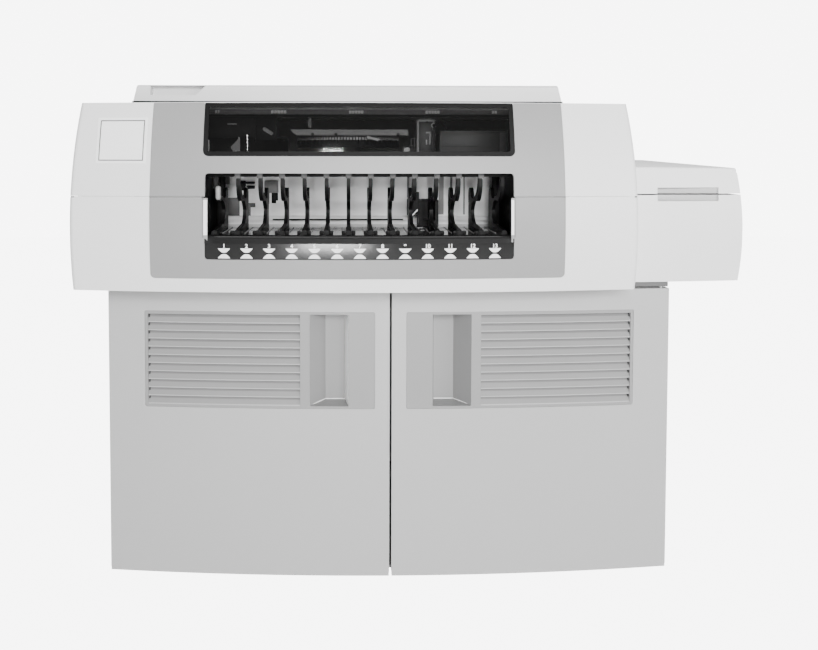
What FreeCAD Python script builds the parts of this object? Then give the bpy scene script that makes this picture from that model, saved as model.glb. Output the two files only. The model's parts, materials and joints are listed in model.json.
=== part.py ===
import FreeCAD, Part
import math
import os

# Floor-standing immunoassay analyzer, in millimetres.
# The origin is on the floor under the middle of the whole machine, +Z is up and the front faces -Y.

Vec = FreeCAD.Vector
up = Vec(0, 0, 1)
along_x = Vec(1, 0, 0)
along_y = Vec(0, 1, 0)

# Whole machine
casing_width = 1216.0
hopper_width = 282.5
hopper_gap = 1.5
machine_depth = 770.0

# Heights, from the floor up
foot_height = 52.0
frame_height = 40.0
floor_plate = 4.0
door_foot_gap = 4.0
door_height = 640.0
door_head_gap = 3.0
chassis_plate = 12.0
lower_casing_height = 198.5
seam_gap = 3.0
front_cover_height = 199.5
top_cover_height = 49.5
top_cover_gap = 0.5

# Double-curved front of the upper casing
casing_wall = 6.0
casing_plan_radius = 4400.0
casing_side_radius = 810.0
casing_flank_radius = 2900.0
belly_height = 125.0
front_corner_radius = 12.0
skin_gap = 0.4
cover_depth = 196.0
cover_reveal = 3.0
cover_top_setback = 11.0
cover_top_step = 20.0

# Grey fascia, sample bay and window: shift to the right of the casing's middle, and height over its underside
fascia_thickness = 3.0
fascia_shift = 6.0
fascia_width = 876.0
fascia_bottom = 29.0
fascia_corner = 10.0
rim_height = 4.0
bay_shift = 9.0
bay_width = 648.0
bay_bottom = 70.0
bay_height = 180.0
bay_corner = 7.0
window_shift = 8.5
window_width = 649.0
window_bottom = 290.0
window_corner = 7.0
window_thickness = 3.0
strip_height = 35.0
strip_thickness = 2.5
strip_recess = 0.4
bay_post = 6.0

# Sample bay inside
tray_wall = 4.0
tray_floor_height = 121.0
tray_reach = 287.0
lane_count = 13
lane_pitch = 47.2
guide_thickness = 8.0
guide_toe = 12.0
guide_depth = 198.0
cheek_thickness = 3.0
cheek_front = 40.0
cheek_gap = 3.0
wall_plate = 3.0
rail_clip_width = 12.0
rail_clip_height = 9.0
rail_bar_height = 8.0
rail_bar_depth = 20.0
deck_plate = 6.0
deck_front = 85.0

# Cabinet and doors
cabinet_inset = 49.0
cabinet_width = 1278.0
door_setback = 115.0
door_plan_radius = 5833.0
door_thickness = 24.0
door_skin = 4.0
door_rim = 20.0
door_hinge_rim = 34.0
door_split = 5.0
door_reveal = 9.0
sheet = 2.5
hinge_inset = 14.0
door_pin_radius = 4.0
door_pin_reach = 34.0
pin_play = 0.05

# Moulded insert in each door
insert_width = 520.0
insert_height = 219.0
insert_side = 32.5
insert_top = 47.0
insert_plate = 3.0
insert_recess = 0.6
insert_lip = 8.0
louvre_width = 345.0
louvre_margin = 7.0
slat_count = 11
slat_lap = 2.5
slat_thickness = 2.4
slat_depth = 14.0
pocket_from_side = 59.5
pocket_mouth = 87.0
pocket_back = 46.0
pocket_depth = 56.0
pocket_steep = 7.0
pocket_height = 207.0
pocket_wall = 2.5

# Consumables hopper on the right
hopper_front_setback = 138.0
hopper_plan_radius = 2900.0
hopper_side_radius = 1200.0
hopper_crown_offset = 117.0
hopper_lid_height = 55.5
hopper_wall = 4.0
hopper_rear_gap = 12.65
hopper_bulge = 13.0
hopper_bevel = 32.0
hopper_bevel_drop = 8.0
grip_width = 146.0
grip_depth = 26.0
grip_height = 14.0
grip_wall = 3.0

# Raised top cover
top_cover_left = 93.0
top_cover_right = 124.0
top_cover_front = 200.0
top_cover_rear_share = 0.045
top_cover_wall = 4.0
hatch_rim = 18.0
top_cover_draft = 11.0
notch_width = 105.0
notch_depth = 24.0
notch_height = 22.0
notch_from_left = 42.0

# Hinges of the covers
cover_pin_radius = 3.0
cover_pin_drop = 10.0
cover_lug_radius = 6.0
cover_fixed_lug_radius = 5.0
lug_thickness = 6.0
lug_gap = 0.5
rear_pin_height = 8.0
top_lug_inset = 90.0
hopper_lid_setback = 14.0
hopper_lug_left = 50.0
hopper_lug_right = 70.0
grip_shift = 77.0

# Inner frame
side_frame_plate = 3.0
post_width = 12.0
beam_depth = 22.0
beam_height = 16.0
beam_drop = 10.0
beam_overhang = 48.0
frame_left_inset = 108.0
frame_right_inset = 118.0
frame_rear_gap = 40.0
deck_rear_gap = 30.0
aisle_left_gap = 40.0
aisle_right_gap = 12.0

# Lane guides and cheeks, as reaches behind the front edge and heights over the tray
arm_front = 54.0
arm_width = 16.0
arm_drop = 26.0
hook_drop = 34.0
hook_lean = 14.0
waist_height = 14.0
foot_front = 33.0
foot_height_front = 8.0
toe_length = 107.0
toe_height = 6.0
cheek_notch = 58.0
clip_reach = 5.0
clip_bite = 2.0

# Rack transport behind the lanes
rail_lift = 6.0
rail_height = 14.0
rail_depth = 10.0
rail_end_gap = 4.0
carriage_width = 46.0
carriage_depth = 72.0
carriage_height = 61.0
carriage_lift = 1.0
carriage_wall = 8.0
carriage_floor = 13.0
carriage_pocket = 34.0
carriage_shift = 165.0
carriage_play = 0.3

# Reagent drum
reagent_left_gap = 27.0
reagent_right_gap = 23.0
reagent_reach = 430.6
reagent_height = 62.0
reagent_lift = 4.0
reagent_floor = 12.0
spindle_radius = 14.0
flange_thickness = 3.5
spindle_drop = 4.0
trough_wall = 5.0
trough_width = 72.0
divider_count = 20
divider_height = 8.0
divider_width = 2.0

# Process path
process_shift = -16.0
process_reach = 335.6
process_radius = 134.0
process_post_radius = 18.0
collar_width = 14.0
ring_lift = 40.0
ring_height = 18.0
ring_inset = 8.0
tooth_count = 36
tooth_depth = 16.0
tooth_width = 10.0
tooth_floor = 6.0
process_lid_gap = 6.0
process_lid_height = 14.0
process_lid_undercut = 12.0

# Sample pipettor
column_shift = 168.0
column_reach = 249.6
column_width = 43.0
column_corner = 5.0
column_gap = 2.0
shaft_depth = 38.0
arm_thickness = 18.0
arm_length = 170.0
pipettor_width = 34.0
arm_shaft_radius = 9.0
probe_radius = 3.0
probe_clearance = 4.0
probe_head_height = 6.0
probe_rest_gap = 0.3

# Washer and its hose
washer_gap = 12.0
washer_right_gap = 126.0
washer_setback = 14.0
washer_depth = 86.0
washer_height = 72.0
washer_corner = 6.0
hose_radius = 2.5
hose_bend = 24.0
hose_rise = 4.5
hose_offset = 26.5
hose_setback = 6.0
hose_heading = Vec(-0.65, -0.76, 0)

# Base, feet and panels
frame_inset = 6.0
base_setback = 225.0
base_rear_gap = 5.0
channel_sheet = 3.0
foot_setback = 372.0
foot_pad_radius = 25.0
foot_pad_top_radius = 19.0
foot_pad_height = 14.0
stud_radius = 8.0
nut_radius = 14.0
nut_height = 10.0
nut_gap = 4.0
chassis_overlap = 26.0
side_flange = 18.0
fan_shift = 260.0
fan_drop = 150.0
fan_radius = 58.0
fan_depth = 38.0
fan_frame = 6.0
fan_hub_radius = 21.0
fan_arm_width = 8.0
fan_arm_thickness = 4.0
fan_boss_radius = 18.0
fan_boss_height = 7.0
fan_axle_radius = 3.0
fan_end_gap = 5.0
blade_count = 7
blade_width = 26.0
blade_thickness = 2.0
blade_pitch = 28.0
slot_columns = 2
slot_rows = 10
slot_length = 170.0
slot_height = 9.0
slot_pitch = 22.0
slot_column_pitch = 210.0
slot_shift = 120.0
slot_drop = 120.0

# Contents of the cabinet
content_setback = 82.4
bottle_corner = 18.0
neck_radius = 24.0
neck_height = 22.0
cap_radius = 30.0
cap_height = 24.0
buffer_shift = 90.0
buffer_size = (200.0, 260.0, 346.0)
waste_shift = 70.0
waste_size = (210.0, 280.0, 366.0)
electronics_shift = 330.0
electronics_size = (250.0, 380.0, 420.0)
electronics_gap = 60.0
electronics_corner = 4.0
vent_count = 8
vent_depth = 8.0
vent_height = 7.0
vent_pitch = 16.0
vent_margin = 40.0
vent_start = 250.0

# Levels and edges that follow from the sizes above
casing_left = -(casing_width + hopper_gap + hopper_width) / 2
casing_right = casing_left + casing_width
casing_middle = casing_left + casing_width / 2
machine_right = -casing_left
strip_below_belly = belly_height - bay_bottom - strip_height
apex_gap = casing_side_radius - math.sqrt(casing_side_radius**2 - strip_below_belly**2)
front_edge = -machine_depth / 2 - strip_recess - apex_gap
rear_edge = machine_depth / 2
frame_top = foot_height + frame_height
floor_top = frame_top + floor_plate
door_bottom = floor_top + door_foot_gap
door_top = door_bottom + door_height
chassis_bottom = door_top + door_head_gap
casing_bottom = chassis_bottom + chassis_plate
lower_top = casing_bottom + lower_casing_height
cover_bottom = lower_top + seam_gap
casing_top = cover_bottom + front_cover_height
belly_z = casing_bottom + belly_height
cover_back = front_edge + cover_depth
rear_casing_front = cover_back + cover_reveal
cover_hinge_y = cover_back - cover_top_setback + cover_reveal + 1.0
cover_hinge_z = casing_top - cover_pin_drop
beam_front = rear_casing_front - 1.0
beam_back = beam_front + beam_depth
beam_top = casing_top - beam_drop
beam_bottom = beam_top - beam_height
fascia_x = casing_middle + fascia_shift - fascia_width / 2
fascia_z = casing_bottom + fascia_bottom
rim_z = casing_top - rim_height
bay_middle = casing_middle + bay_shift
bay_x = bay_middle - bay_width / 2
bay_z = casing_bottom + bay_bottom
bay_top = bay_z + bay_height
window_x = casing_middle + window_shift - window_width / 2
window_z = casing_bottom + window_bottom
tray_top = casing_bottom + tray_floor_height
tray_back = front_edge + tray_reach
guide_top = bay_top - rail_bar_height / 4
deck_bottom = guide_top + rail_bar_height + 5.0
deck_top = deck_bottom + deck_plate
cabinet_left = casing_left + cabinet_inset
cabinet_right = cabinet_left + cabinet_width
cabinet_middle = cabinet_left + cabinet_width / 2
door_front = front_edge + door_setback
carcass_back = rear_edge - 5.0
hopper_left = casing_right + hopper_gap
top_cover_back = rear_edge - top_cover_rear_share * machine_depth
top_hinge_y = top_cover_back + rear_pin_height
top_hinge_z = casing_top + rear_pin_height
top_lug_step = lug_thickness + lug_gap
hopper_back = rear_edge - hopper_rear_gap
hopper_lid_back = hopper_back - hopper_lid_setback
hopper_hinge_y = hopper_lid_back + rear_pin_height
hopper_hinge_z = cover_bottom + rear_pin_height
grip_x = hopper_left + grip_shift
door_sagitta = door_plan_radius - math.sqrt(door_plan_radius**2 - (cabinet_width / 2) ** 2)
cabinet_carcass_front = door_front + door_sagitta + door_thickness + door_reveal
chassis_front = cabinet_carcass_front - chassis_overlap
hinge_left_x = cabinet_left + hinge_inset
hinge_right_x = cabinet_right - hinge_inset
hinge_door_y = door_front + door_sagitta + hinge_inset
frame_left = casing_left + frame_left_inset
frame_right = casing_right - frame_right_inset
aisle_left = frame_left + aisle_left_gap
aisle_right = frame_right - aisle_right_gap
rail_z = tray_top + rail_lift
carriage_rest = bay_middle + carriage_shift
process_x = casing_middle + process_shift
process_y = front_edge + process_reach
ring_z = deck_top + ring_lift
lid_z = ring_z + ring_height + process_lid_gap
reagent_y = front_edge + reagent_reach
reagent_end = process_x - process_radius - reagent_right_gap
reagent_radius = (reagent_end - frame_left - reagent_left_gap) / 2
reagent_x = reagent_end - reagent_radius
column_x = casing_middle + column_shift
column_y = front_edge + column_reach
column_top = beam_bottom - column_gap
arm_z = column_top + column_gap
fan_x = cabinet_left + fan_shift
fan_z = chassis_bottom - fan_drop
content_front = cabinet_carcass_front + content_setback
hopper_top = cover_bottom + hopper_lid_height

casing_front = {
    "x": casing_middle,
    "y": front_edge,
    "z": belly_z,
    "plan": casing_plan_radius,
    "side": casing_side_radius,
}
hopper_front = {
    "x": hopper_left - hopper_crown_offset,
    "y": front_edge + hopper_front_setback - hopper_crown_offset**2 / (2 * hopper_plan_radius),
    "z": belly_z,
    "plan": hopper_plan_radius,
    "side": hopper_side_radius,
}


def box(x0, x1, y0, y1, z0, z1):
    return Part.makeBox(x1 - x0, y1 - y0, z1 - z0, Vec(x0, y0, z0))


def rod(x, y, z0, z1, radius):
    return Part.makeCylinder(radius, z1 - z0, Vec(x, y, z0))


def rod_x(x0, x1, y, z, radius):
    return Part.makeCylinder(radius, x1 - x0, Vec(x0, y, z), along_x)


def rod_y(x, y0, y1, z, radius):
    return Part.makeCylinder(radius, y1 - y0, Vec(x, y0, z), along_y)


def fused(shapes):
    joined = shapes[0].fuse(shapes[1:])
    return joined.removeSplitter()


def edges_along(shape, direction):
    found = []
    for edge in shape.Edges:
        if abs(edge.tangentAt(edge.FirstParameter).dot(direction)) > 0.999:
            found.append(edge)
    return found


def rounded_box(x0, x1, y0, y1, z0, z1, radius, direction):
    block = box(x0, x1, y0, y1, z0, z1)
    return block.makeFillet(radius, edges_along(block, direction))


def line(start, end):
    return Part.LineSegment(start, end).toShape()


def arc(start, middle, end):
    return Part.Arc(start, middle, end).toShape()


def prism(edges, direction):
    return Part.Face(Part.Wire(edges)).extrude(direction)


def polygon_prism(points, direction):
    return Part.Face(Part.makePolygon(points + points[:1])).extrude(direction)


# Point of a front's upright middle section, offset inwards from the outer surface
def section_point(front, offset, z):
    run = math.sqrt((front["side"] - offset) ** 2 - (z - front["z"]) ** 2)
    return Vec(front["x"], front["y"] + front["side"] - run, z)


def section_arc(front, offset, z0, z1):
    return arc(
        section_point(front, offset, z0),
        section_point(front, offset, (z0 + z1) / 2),
        section_point(front, offset, z1),
    )


# Sweeps an upright section sideways along the plan curve of a front
def swept_along(front, face):
    axis = Vec(front["x"], front["y"] + front["plan"], 0)
    reach = front["plan"] - machine_depth - 2 * front_corner_radius
    half_angle = math.degrees(math.asin(casing_width * 0.6 / reach))
    start = face.copy()
    start.rotate(axis, up, -half_angle)
    return start.revolve(axis, up, 2 * half_angle)


def skin(front, near, far, z0, z1):
    near_arc = section_arc(front, near, z0, z1)
    far_arc = section_arc(front, far, z0, z1)
    top = line(section_point(front, near, z1), section_point(front, far, z1))
    bottom = line(section_point(front, far, z0), section_point(front, near, z0))
    return swept_along(front, Part.Face(Part.Wire([near_arc, top, far_arc, bottom])))


def solid_behind(front, offset, y_back, z0, z1):
    near_arc = section_arc(front, offset, z0, z1)
    low = section_point(front, offset, z0)
    high = section_point(front, offset, z1)
    high_back = Vec(high.x, y_back, z1)
    low_back = Vec(low.x, y_back, z0)
    edges = [near_arc, line(high, high_back), line(high_back, low_back), line(low_back, low)]
    return swept_along(front, Part.Face(Part.Wire(edges)))


def flank_x(side, offset, z):
    run = math.sqrt((casing_flank_radius - offset) ** 2 - (z - belly_z) ** 2)
    return casing_middle + side * (casing_width / 2 - casing_flank_radius + run)


# Upright slice of the casing between its two gently bulged flanks
def flank_prism(offset, y0, y1, z0, z1):
    middle = (z0 + z1) / 2
    left = [Vec(flank_x(-1, offset, z), y0, z) for z in (z0, middle, z1)]
    right = [Vec(flank_x(1, offset, z), y0, z) for z in (z1, middle, z0)]
    edges = [arc(*left), line(left[2], right[0]), arc(*right), line(right[2], left[0])]
    return prism(edges, Vec(0, y1 - y0, 0))


def casing_volume(offset, y_back, z0, z1):
    far = y_back + front_corner_radius + casing_width**2 / (8 * casing_plan_radius)
    bulk = solid_behind(casing_front, offset, far, z0, z1)
    return bulk.common(flank_prism(offset, front_edge - 1, y_back, z0, z1))


def front_corner_edges(shape, height):
    found = []
    for edge in shape.Edges:
        bounds = edge.BoundBox
        if bounds.ZLength > 0.9 * height and bounds.YMax < front_edge + 0.6 * cover_depth:
            found.append(edge)
    return found


def front_shell(z0, z1, inner_z0, inner_z1, back):
    outer = casing_volume(0, back, z0, z1)
    outer = outer.makeFillet(front_corner_radius, front_corner_edges(outer, z1 - z0))
    return outer.cut(casing_volume(casing_wall, back + 1, inner_z0, inner_z1))


def fascia_prism(margin, z0, z1):
    return rounded_box(
        fascia_x + margin,
        fascia_x + fascia_width - margin,
        front_edge - 1,
        front_edge + cover_depth / 2,
        z0,
        z1,
        fascia_corner,
        along_y,
    )


def bay_prism(margin):
    return rounded_box(
        bay_x + margin,
        bay_x + bay_width - margin,
        front_edge - 1,
        front_edge + cover_depth / 2,
        bay_z + margin,
        bay_top - margin,
        bay_corner,
        along_y,
    )


def window_prism(margin, top):
    return rounded_box(
        window_x + margin,
        window_x + window_width - margin,
        front_edge - 1,
        front_edge + cover_depth / 2,
        window_z + margin,
        top,
        window_corner,
        along_y,
    )


# White lower front: curved front, two flanks and a closed underside
def lower_casing():
    shell = front_shell(casing_bottom, lower_top, casing_bottom + casing_wall, lower_top + 1, cover_back)
    rebate = skin(casing_front, -1, fascia_thickness + skin_gap, casing_bottom, lower_top + 1)
    shell = shell.cut(rebate.common(fascia_prism(0, fascia_z, casing_top)))
    return shell.cut(bay_prism(0))


def lower_fascia():
    panel = skin(casing_front, 0, fascia_thickness, casing_bottom, lower_top)
    panel = panel.common(fascia_prism(skin_gap, fascia_z + skin_gap, casing_top))
    panel = panel.cut(bay_prism(0))
    post_z = bay_z + strip_height + 1.0
    posts = skin(casing_front, 0, casing_wall, post_z, lower_top)
    left = posts.common(box(bay_x, bay_x + bay_post, front_edge - 1, cover_back, post_z, lower_top))
    right_x = bay_x + bay_width
    right = posts.common(box(right_x - bay_post, right_x, front_edge - 1, cover_back, post_z, lower_top))
    return fused([panel, left, right])


# Curved black strip under the lanes that carries their numbers
def number_strip():
    strip_top = bay_z + strip_height
    strip = skin(casing_front, strip_recess, strip_recess + strip_thickness, bay_z, strip_top)
    limits = bay_prism(skin_gap)
    return strip.common(limits)


# Hinge lug seen along X: an eye round the pin and a root that joins it to its carrier
def lug(x, y, z, radius, hole, root):
    eye = rod_x(x, x + lug_thickness, y, z, radius)
    y0, y1, z0, z1 = root
    block = box(x, x + lug_thickness, y0, y1, z0, z1)
    return eye.fuse(block).cut(rod_x(x - 1, x + lug_thickness + 1, y, z, hole))


def cover_lug_places():
    left = casing_left + 2 * casing_wall + 68.0
    right = casing_right - 2 * casing_wall - 68.0 - lug_thickness
    return [(left, 1), (right, -1)]


# Lift-up front cover with its window and the upper part of the bay opening cut through
def cover_shell():
    shell = front_shell(cover_bottom, casing_top, cover_bottom - 1, casing_top - casing_wall, cover_back)
    step = box(
        casing_left - 1,
        casing_right + 1,
        cover_back - cover_top_setback,
        cover_back + 1,
        casing_top - cover_top_step,
        casing_top + 1,
    )
    shell = shell.cut(step)
    rebate = skin(casing_front, -1, fascia_thickness + skin_gap, cover_bottom - 1, rim_z)
    shell = shell.cut(rebate.common(fascia_prism(0, casing_bottom, rim_z + fascia_corner)))
    shell = shell.cut(bay_prism(0))
    opening = window_prism(4.0, rim_z + window_corner)
    shell = shell.cut(opening.common(box(casing_left, casing_right, front_edge - 1, 0, window_z, rim_z)))
    parts = [shell]
    for x, side in cover_lug_places():
        root = (
            cover_hinge_y - 3 * cover_lug_radius,
            cover_hinge_y,
            cover_hinge_z - cover_lug_radius,
            casing_top - casing_wall + 1.0,
        )
        hole = cover_pin_radius + pin_play
        parts.append(lug(x, cover_hinge_y, cover_hinge_z, cover_lug_radius, hole, root))
    return fused(parts)


def cover_fascia():
    panel = skin(casing_front, 0, fascia_thickness, cover_bottom, rim_z - skin_gap)
    panel = panel.common(fascia_prism(skin_gap, casing_bottom, rim_z + fascia_corner))
    panel = panel.cut(bay_prism(0))
    return panel.cut(window_prism(0, rim_z + window_corner))


def cover_window():
    pane = skin(casing_front, skin_gap, skin_gap + window_thickness, window_z, rim_z - skin_gap)
    return pane.common(window_prism(skin_gap, rim_z + window_corner))


# Pins of all the cover hinges
def cover_hinge_pins():
    reach = 2 * lug_thickness + lug_gap
    pins = []
    for x, side in cover_lug_places():
        x0 = min(x, x - side * (lug_thickness + lug_gap))
        pins.append(rod_x(x0, x0 + reach, cover_hinge_y, cover_hinge_z, cover_pin_radius))
    for x in top_lug_places():
        pins.append(rod_x(x, x + reach, top_hinge_y, top_hinge_z, cover_pin_radius))
    for x in hopper_lug_places():
        pins.append(rod_x(x, x + reach, hopper_hinge_y, hopper_hinge_z, cover_pin_radius))
    return Part.makeCompound(pins)


# Welded inner frame: two sheet uprights with posts, and the beam that carries the front cover's hinge
def inner_frame():
    x0 = frame_left - beam_overhang
    x1 = frame_right + beam_overhang
    parts = [box(x0, x1, beam_front, beam_back, beam_bottom, beam_top)]
    parts.append(side_frame(frame_left, -1))
    parts.append(side_frame(frame_right - side_frame_plate, 1))
    for x, side in cover_lug_places():
        fixed_x = x - side * (lug_thickness + lug_gap)
        root = (
            cover_hinge_y,
            beam_front + 1.0,
            cover_hinge_z - cover_fixed_lug_radius,
            min(beam_top, cover_hinge_z + 1.0),
        )
        parts.append(lug(fixed_x, cover_hinge_y, cover_hinge_z, cover_fixed_lug_radius, cover_pin_radius, root))
    return fused(parts)


# White rear casing: flanks, rear wall and a top rim round the space under the raised cover
def rear_casing():
    outer = flank_prism(0, rear_casing_front, rear_edge, casing_bottom, casing_top)
    inner_top = casing_top - casing_wall
    inner = flank_prism(casing_wall, rear_casing_front - 1, rear_edge - casing_wall, casing_bottom - 1, inner_top)
    shell = outer.cut(inner)
    rim = hatch_rim
    hatch = box(
        casing_left + top_cover_left + rim,
        casing_right - top_cover_right - rim,
        rear_casing_front + rim,
        top_cover_back - rim,
        inner_top - 1,
        casing_top + 1,
    )
    shell = shell.cut(hatch)
    parts = [shell]
    for x in top_lug_places():
        root = (
            top_hinge_y - cover_lug_radius,
            top_hinge_y + cover_lug_radius,
            casing_top - 1.0,
            top_hinge_z,
        )
        parts.append(lug(x, top_hinge_y, top_hinge_z, cover_lug_radius, cover_pin_radius, root))
    return fused(parts)


def top_lug_places():
    left = casing_left + top_cover_left + top_lug_inset
    right = casing_right - top_cover_right - top_lug_inset
    return [left, right]


def tapered_block(x0, x1, y0, y1, z0, z1, draft_x, draft_y):
    low = [Vec(x0, y0, z0), Vec(x1, y0, z0), Vec(x1, y1, z0), Vec(x0, y1, z0)]
    high = [
        Vec(x0 + draft_x, y0 + draft_y, z1),
        Vec(x1 - draft_x, y0 + draft_y, z1),
        Vec(x1 - draft_x, y1, z1),
        Vec(x0 + draft_x, y1, z1),
    ]
    wires = [Part.makePolygon(ring + ring[:1]) for ring in (low, high)]
    return Part.makeLoft(wires, True, True)


# Raised lift-off cover over the processing space, with a finger notch at its left front
def top_cover():
    x0 = casing_left + top_cover_left
    x1 = casing_right - top_cover_right
    y0 = front_edge + top_cover_front
    y1 = top_cover_back
    z0 = casing_top + top_cover_gap
    z1 = z0 + top_cover_height
    draft_y = top_cover_draft / 2
    outer = tapered_block(x0, x1, y0, y1, z0, z1, top_cover_draft, draft_y)
    top_edges = [edge for edge in outer.Edges if edge.BoundBox.ZMin > z1 - 0.1]
    outer = outer.makeFillet(5.0, top_edges)
    wall = top_cover_wall
    inner = tapered_block(
        x0 + wall, x1 - wall, y0 + wall, y1 - wall, z0 - 1, z1 - wall, top_cover_draft, draft_y
    )
    notch_x = x0 + notch_from_left
    notch_top = z1 - 2.0
    pocket = box(
        notch_x - wall,
        notch_x + notch_width + notch_height + wall,
        y0 + draft_y,
        y0 + draft_y + notch_depth + wall,
        notch_top - notch_height - wall,
        z1 - 1.0,
    )
    hollow = inner.cut(pocket)
    cut_points = [
        Vec(notch_x, y0 - 1, notch_top),
        Vec(notch_x, y0 - 1, notch_top - notch_height),
        Vec(notch_x + notch_width, y0 - 1, notch_top - notch_height),
        Vec(notch_x + notch_width + notch_height, y0 - 1, notch_top),
    ]
    notch = polygon_prism(cut_points, Vec(0, draft_y + 1 + notch_depth, 0))
    parts = [outer.cut(hollow).cut(notch)]
    for x in top_lug_places():
        root = (y1 - 1.0, top_hinge_y, top_hinge_z - cover_lug_radius, top_hinge_z + cover_lug_radius)
        hole = cover_pin_radius + pin_play
        parts.append(lug(x + top_lug_step, top_hinge_y, top_hinge_z, cover_lug_radius, hole, root))
    return fused(parts)


# Sections of the hopper: straight inner flank, bulged outer flank, bevelled shoulder
def hopper_prism(offset, y0, y1, z0, z1):
    low_x = machine_right - hopper_bulge / 2 - offset
    high_x = machine_right - hopper_bulge - offset
    shoulder_z = hopper_top - hopper_bevel_drop - offset
    left = hopper_left + offset
    flank = arc(
        Vec(low_x, y0, casing_bottom),
        Vec(machine_right - offset, y0, belly_z),
        Vec(high_x, y0, shoulder_z),
    )
    top = hopper_top - offset
    edges = [
        flank,
        line(Vec(high_x, y0, shoulder_z), Vec(high_x - hopper_bevel, y0, top)),
        line(Vec(high_x - hopper_bevel, y0, top), Vec(left, y0, top)),
        line(Vec(left, y0, top), Vec(left, y0, casing_bottom)),
        line(Vec(left, y0, casing_bottom), Vec(low_x, y0, casing_bottom)),
    ]
    block = prism(edges, Vec(0, y1 - y0, 0))
    return block.common(box(hopper_left, machine_right, y0, y1, z0, z1))


def hopper_volume(offset, back, z0, z1):
    bulk = solid_behind(hopper_front, offset, back + 1, casing_bottom, hopper_top)
    return bulk.common(hopper_prism(offset, front_edge, back, z0, z1))


# Finger pocket across the seam between the hopper's bin and lid
def grip_prism(margin, z0, z1):
    y0 = front_edge + hopper_front_setback - 2 * hopper_wall
    y1 = front_edge + hopper_front_setback + grip_depth + margin
    return box(grip_x - margin, grip_x + grip_width + margin, y0, y1, z0, z1)


def hopper_bin():
    back = hopper_back
    outer = hopper_volume(0, back, casing_bottom, lower_top)
    inner = hopper_volume(hopper_wall, back - hopper_wall, casing_bottom - 1, lower_top + 1)
    grip_z = lower_top - grip_height
    shroud = grip_prism(grip_wall, grip_z - grip_wall, lower_top + 1)
    shell = outer.cut(inner.cut(shroud)).cut(grip_prism(0, grip_z, lower_top + 2))
    parts = [shell]
    for x in hopper_lug_places():
        root = (hopper_hinge_y - cover_lug_radius, hopper_back, lower_top - 12.0, hopper_hinge_z)
        parts.append(lug(x, hopper_hinge_y, hopper_hinge_z, cover_lug_radius, cover_pin_radius, root))
    return fused(parts)


# Sheet base that the hopper's walls stand round
def hopper_floor():
    return hopper_volume(
        hopper_wall + skin_gap, hopper_back - hopper_wall - skin_gap, casing_bottom, casing_bottom + hopper_wall
    )


def hopper_lug_places():
    return [hopper_left + hopper_lug_left, machine_right - hopper_lug_right]


def hopper_lid():
    outer = hopper_volume(0, hopper_lid_back, cover_bottom, hopper_top)
    inner = hopper_volume(hopper_wall, hopper_lid_back - hopper_wall, cover_bottom - 1, hopper_top)
    grip_z = cover_bottom + grip_height
    shroud = grip_prism(grip_wall, cover_bottom - 1, grip_z + grip_wall)
    shell = outer.cut(inner.cut(shroud)).cut(grip_prism(0, cover_bottom - 2, grip_z))
    parts = [shell]
    for x in hopper_lug_places():
        root = (
            hopper_lid_back - 1.0,
            hopper_hinge_y,
            hopper_hinge_z - cover_lug_radius,
            hopper_hinge_z + cover_lug_radius,
        )
        hole = cover_pin_radius + pin_play
        parts.append(lug(x + top_lug_step, hopper_hinge_y, hopper_hinge_z, cover_lug_radius, hole, root))
    return fused(parts)


# Black tray: rounded front lip, floor under the lanes and the aisle, two legs on the chassis
def bay_tray():
    strip_top = bay_z + strip_height
    lip_out = section_point(casing_front, 2.0, strip_top + 1.0)
    lip_mid = Vec(lip_out.x, lip_out.y + 3.5, tray_top - 3.5)
    lip_in = Vec(lip_out.x, lip_out.y + 13.0, tray_top)
    inside = Vec(lip_out.x, lip_out.y + 45.0, tray_top)
    inside_low = Vec(lip_out.x, lip_out.y + 45.0, tray_top - tray_wall)
    corner_low = Vec(lip_out.x, lip_out.y + 13.0, tray_top - tray_wall)
    foot_z = bay_z + skin_gap
    back_top = section_point(casing_front, 8.0, strip_top)
    back_low = section_point(casing_front, 8.0, foot_z)
    strip_back = strip_recess + strip_thickness + skin_gap
    front_low = section_point(casing_front, strip_back, foot_z)
    front_top = section_point(casing_front, strip_back, strip_top + 1.0)
    edges = [
        line(front_top, lip_out),
        arc(lip_out, lip_mid, lip_in),
        line(lip_in, inside),
        line(inside, inside_low),
        line(inside_low, corner_low),
        line(corner_low, back_top),
        line(back_top, back_low),
        line(back_low, front_low),
        line(front_low, front_top),
    ]
    lip = swept_along(casing_front, Part.Face(Part.Wire(edges)))
    bay_right = bay_x + bay_width
    lip = lip.common(
        box(bay_x + skin_gap, bay_right - skin_gap, front_edge - 1, tray_back, bay_z, tray_top + 1)
    )
    lip = lip.common(bay_prism(skin_gap))
    floor_front = lip_out.y + 30.0
    low = tray_top - tray_wall
    floor = box(
        aisle_left, aisle_right, floor_front, tray_back, low, tray_top
    )
    parts = [lip, floor]
    for x in (aisle_left + aisle_left_gap, aisle_right - aisle_left_gap - tray_wall):
        parts.append(box(x, x + tray_wall, cover_back + skin_gap, tray_back, casing_bottom, low))
    return fused(parts)


def guide_point(depth, height):
    return Vec(0, front_edge + depth, tray_top + height)


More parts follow.
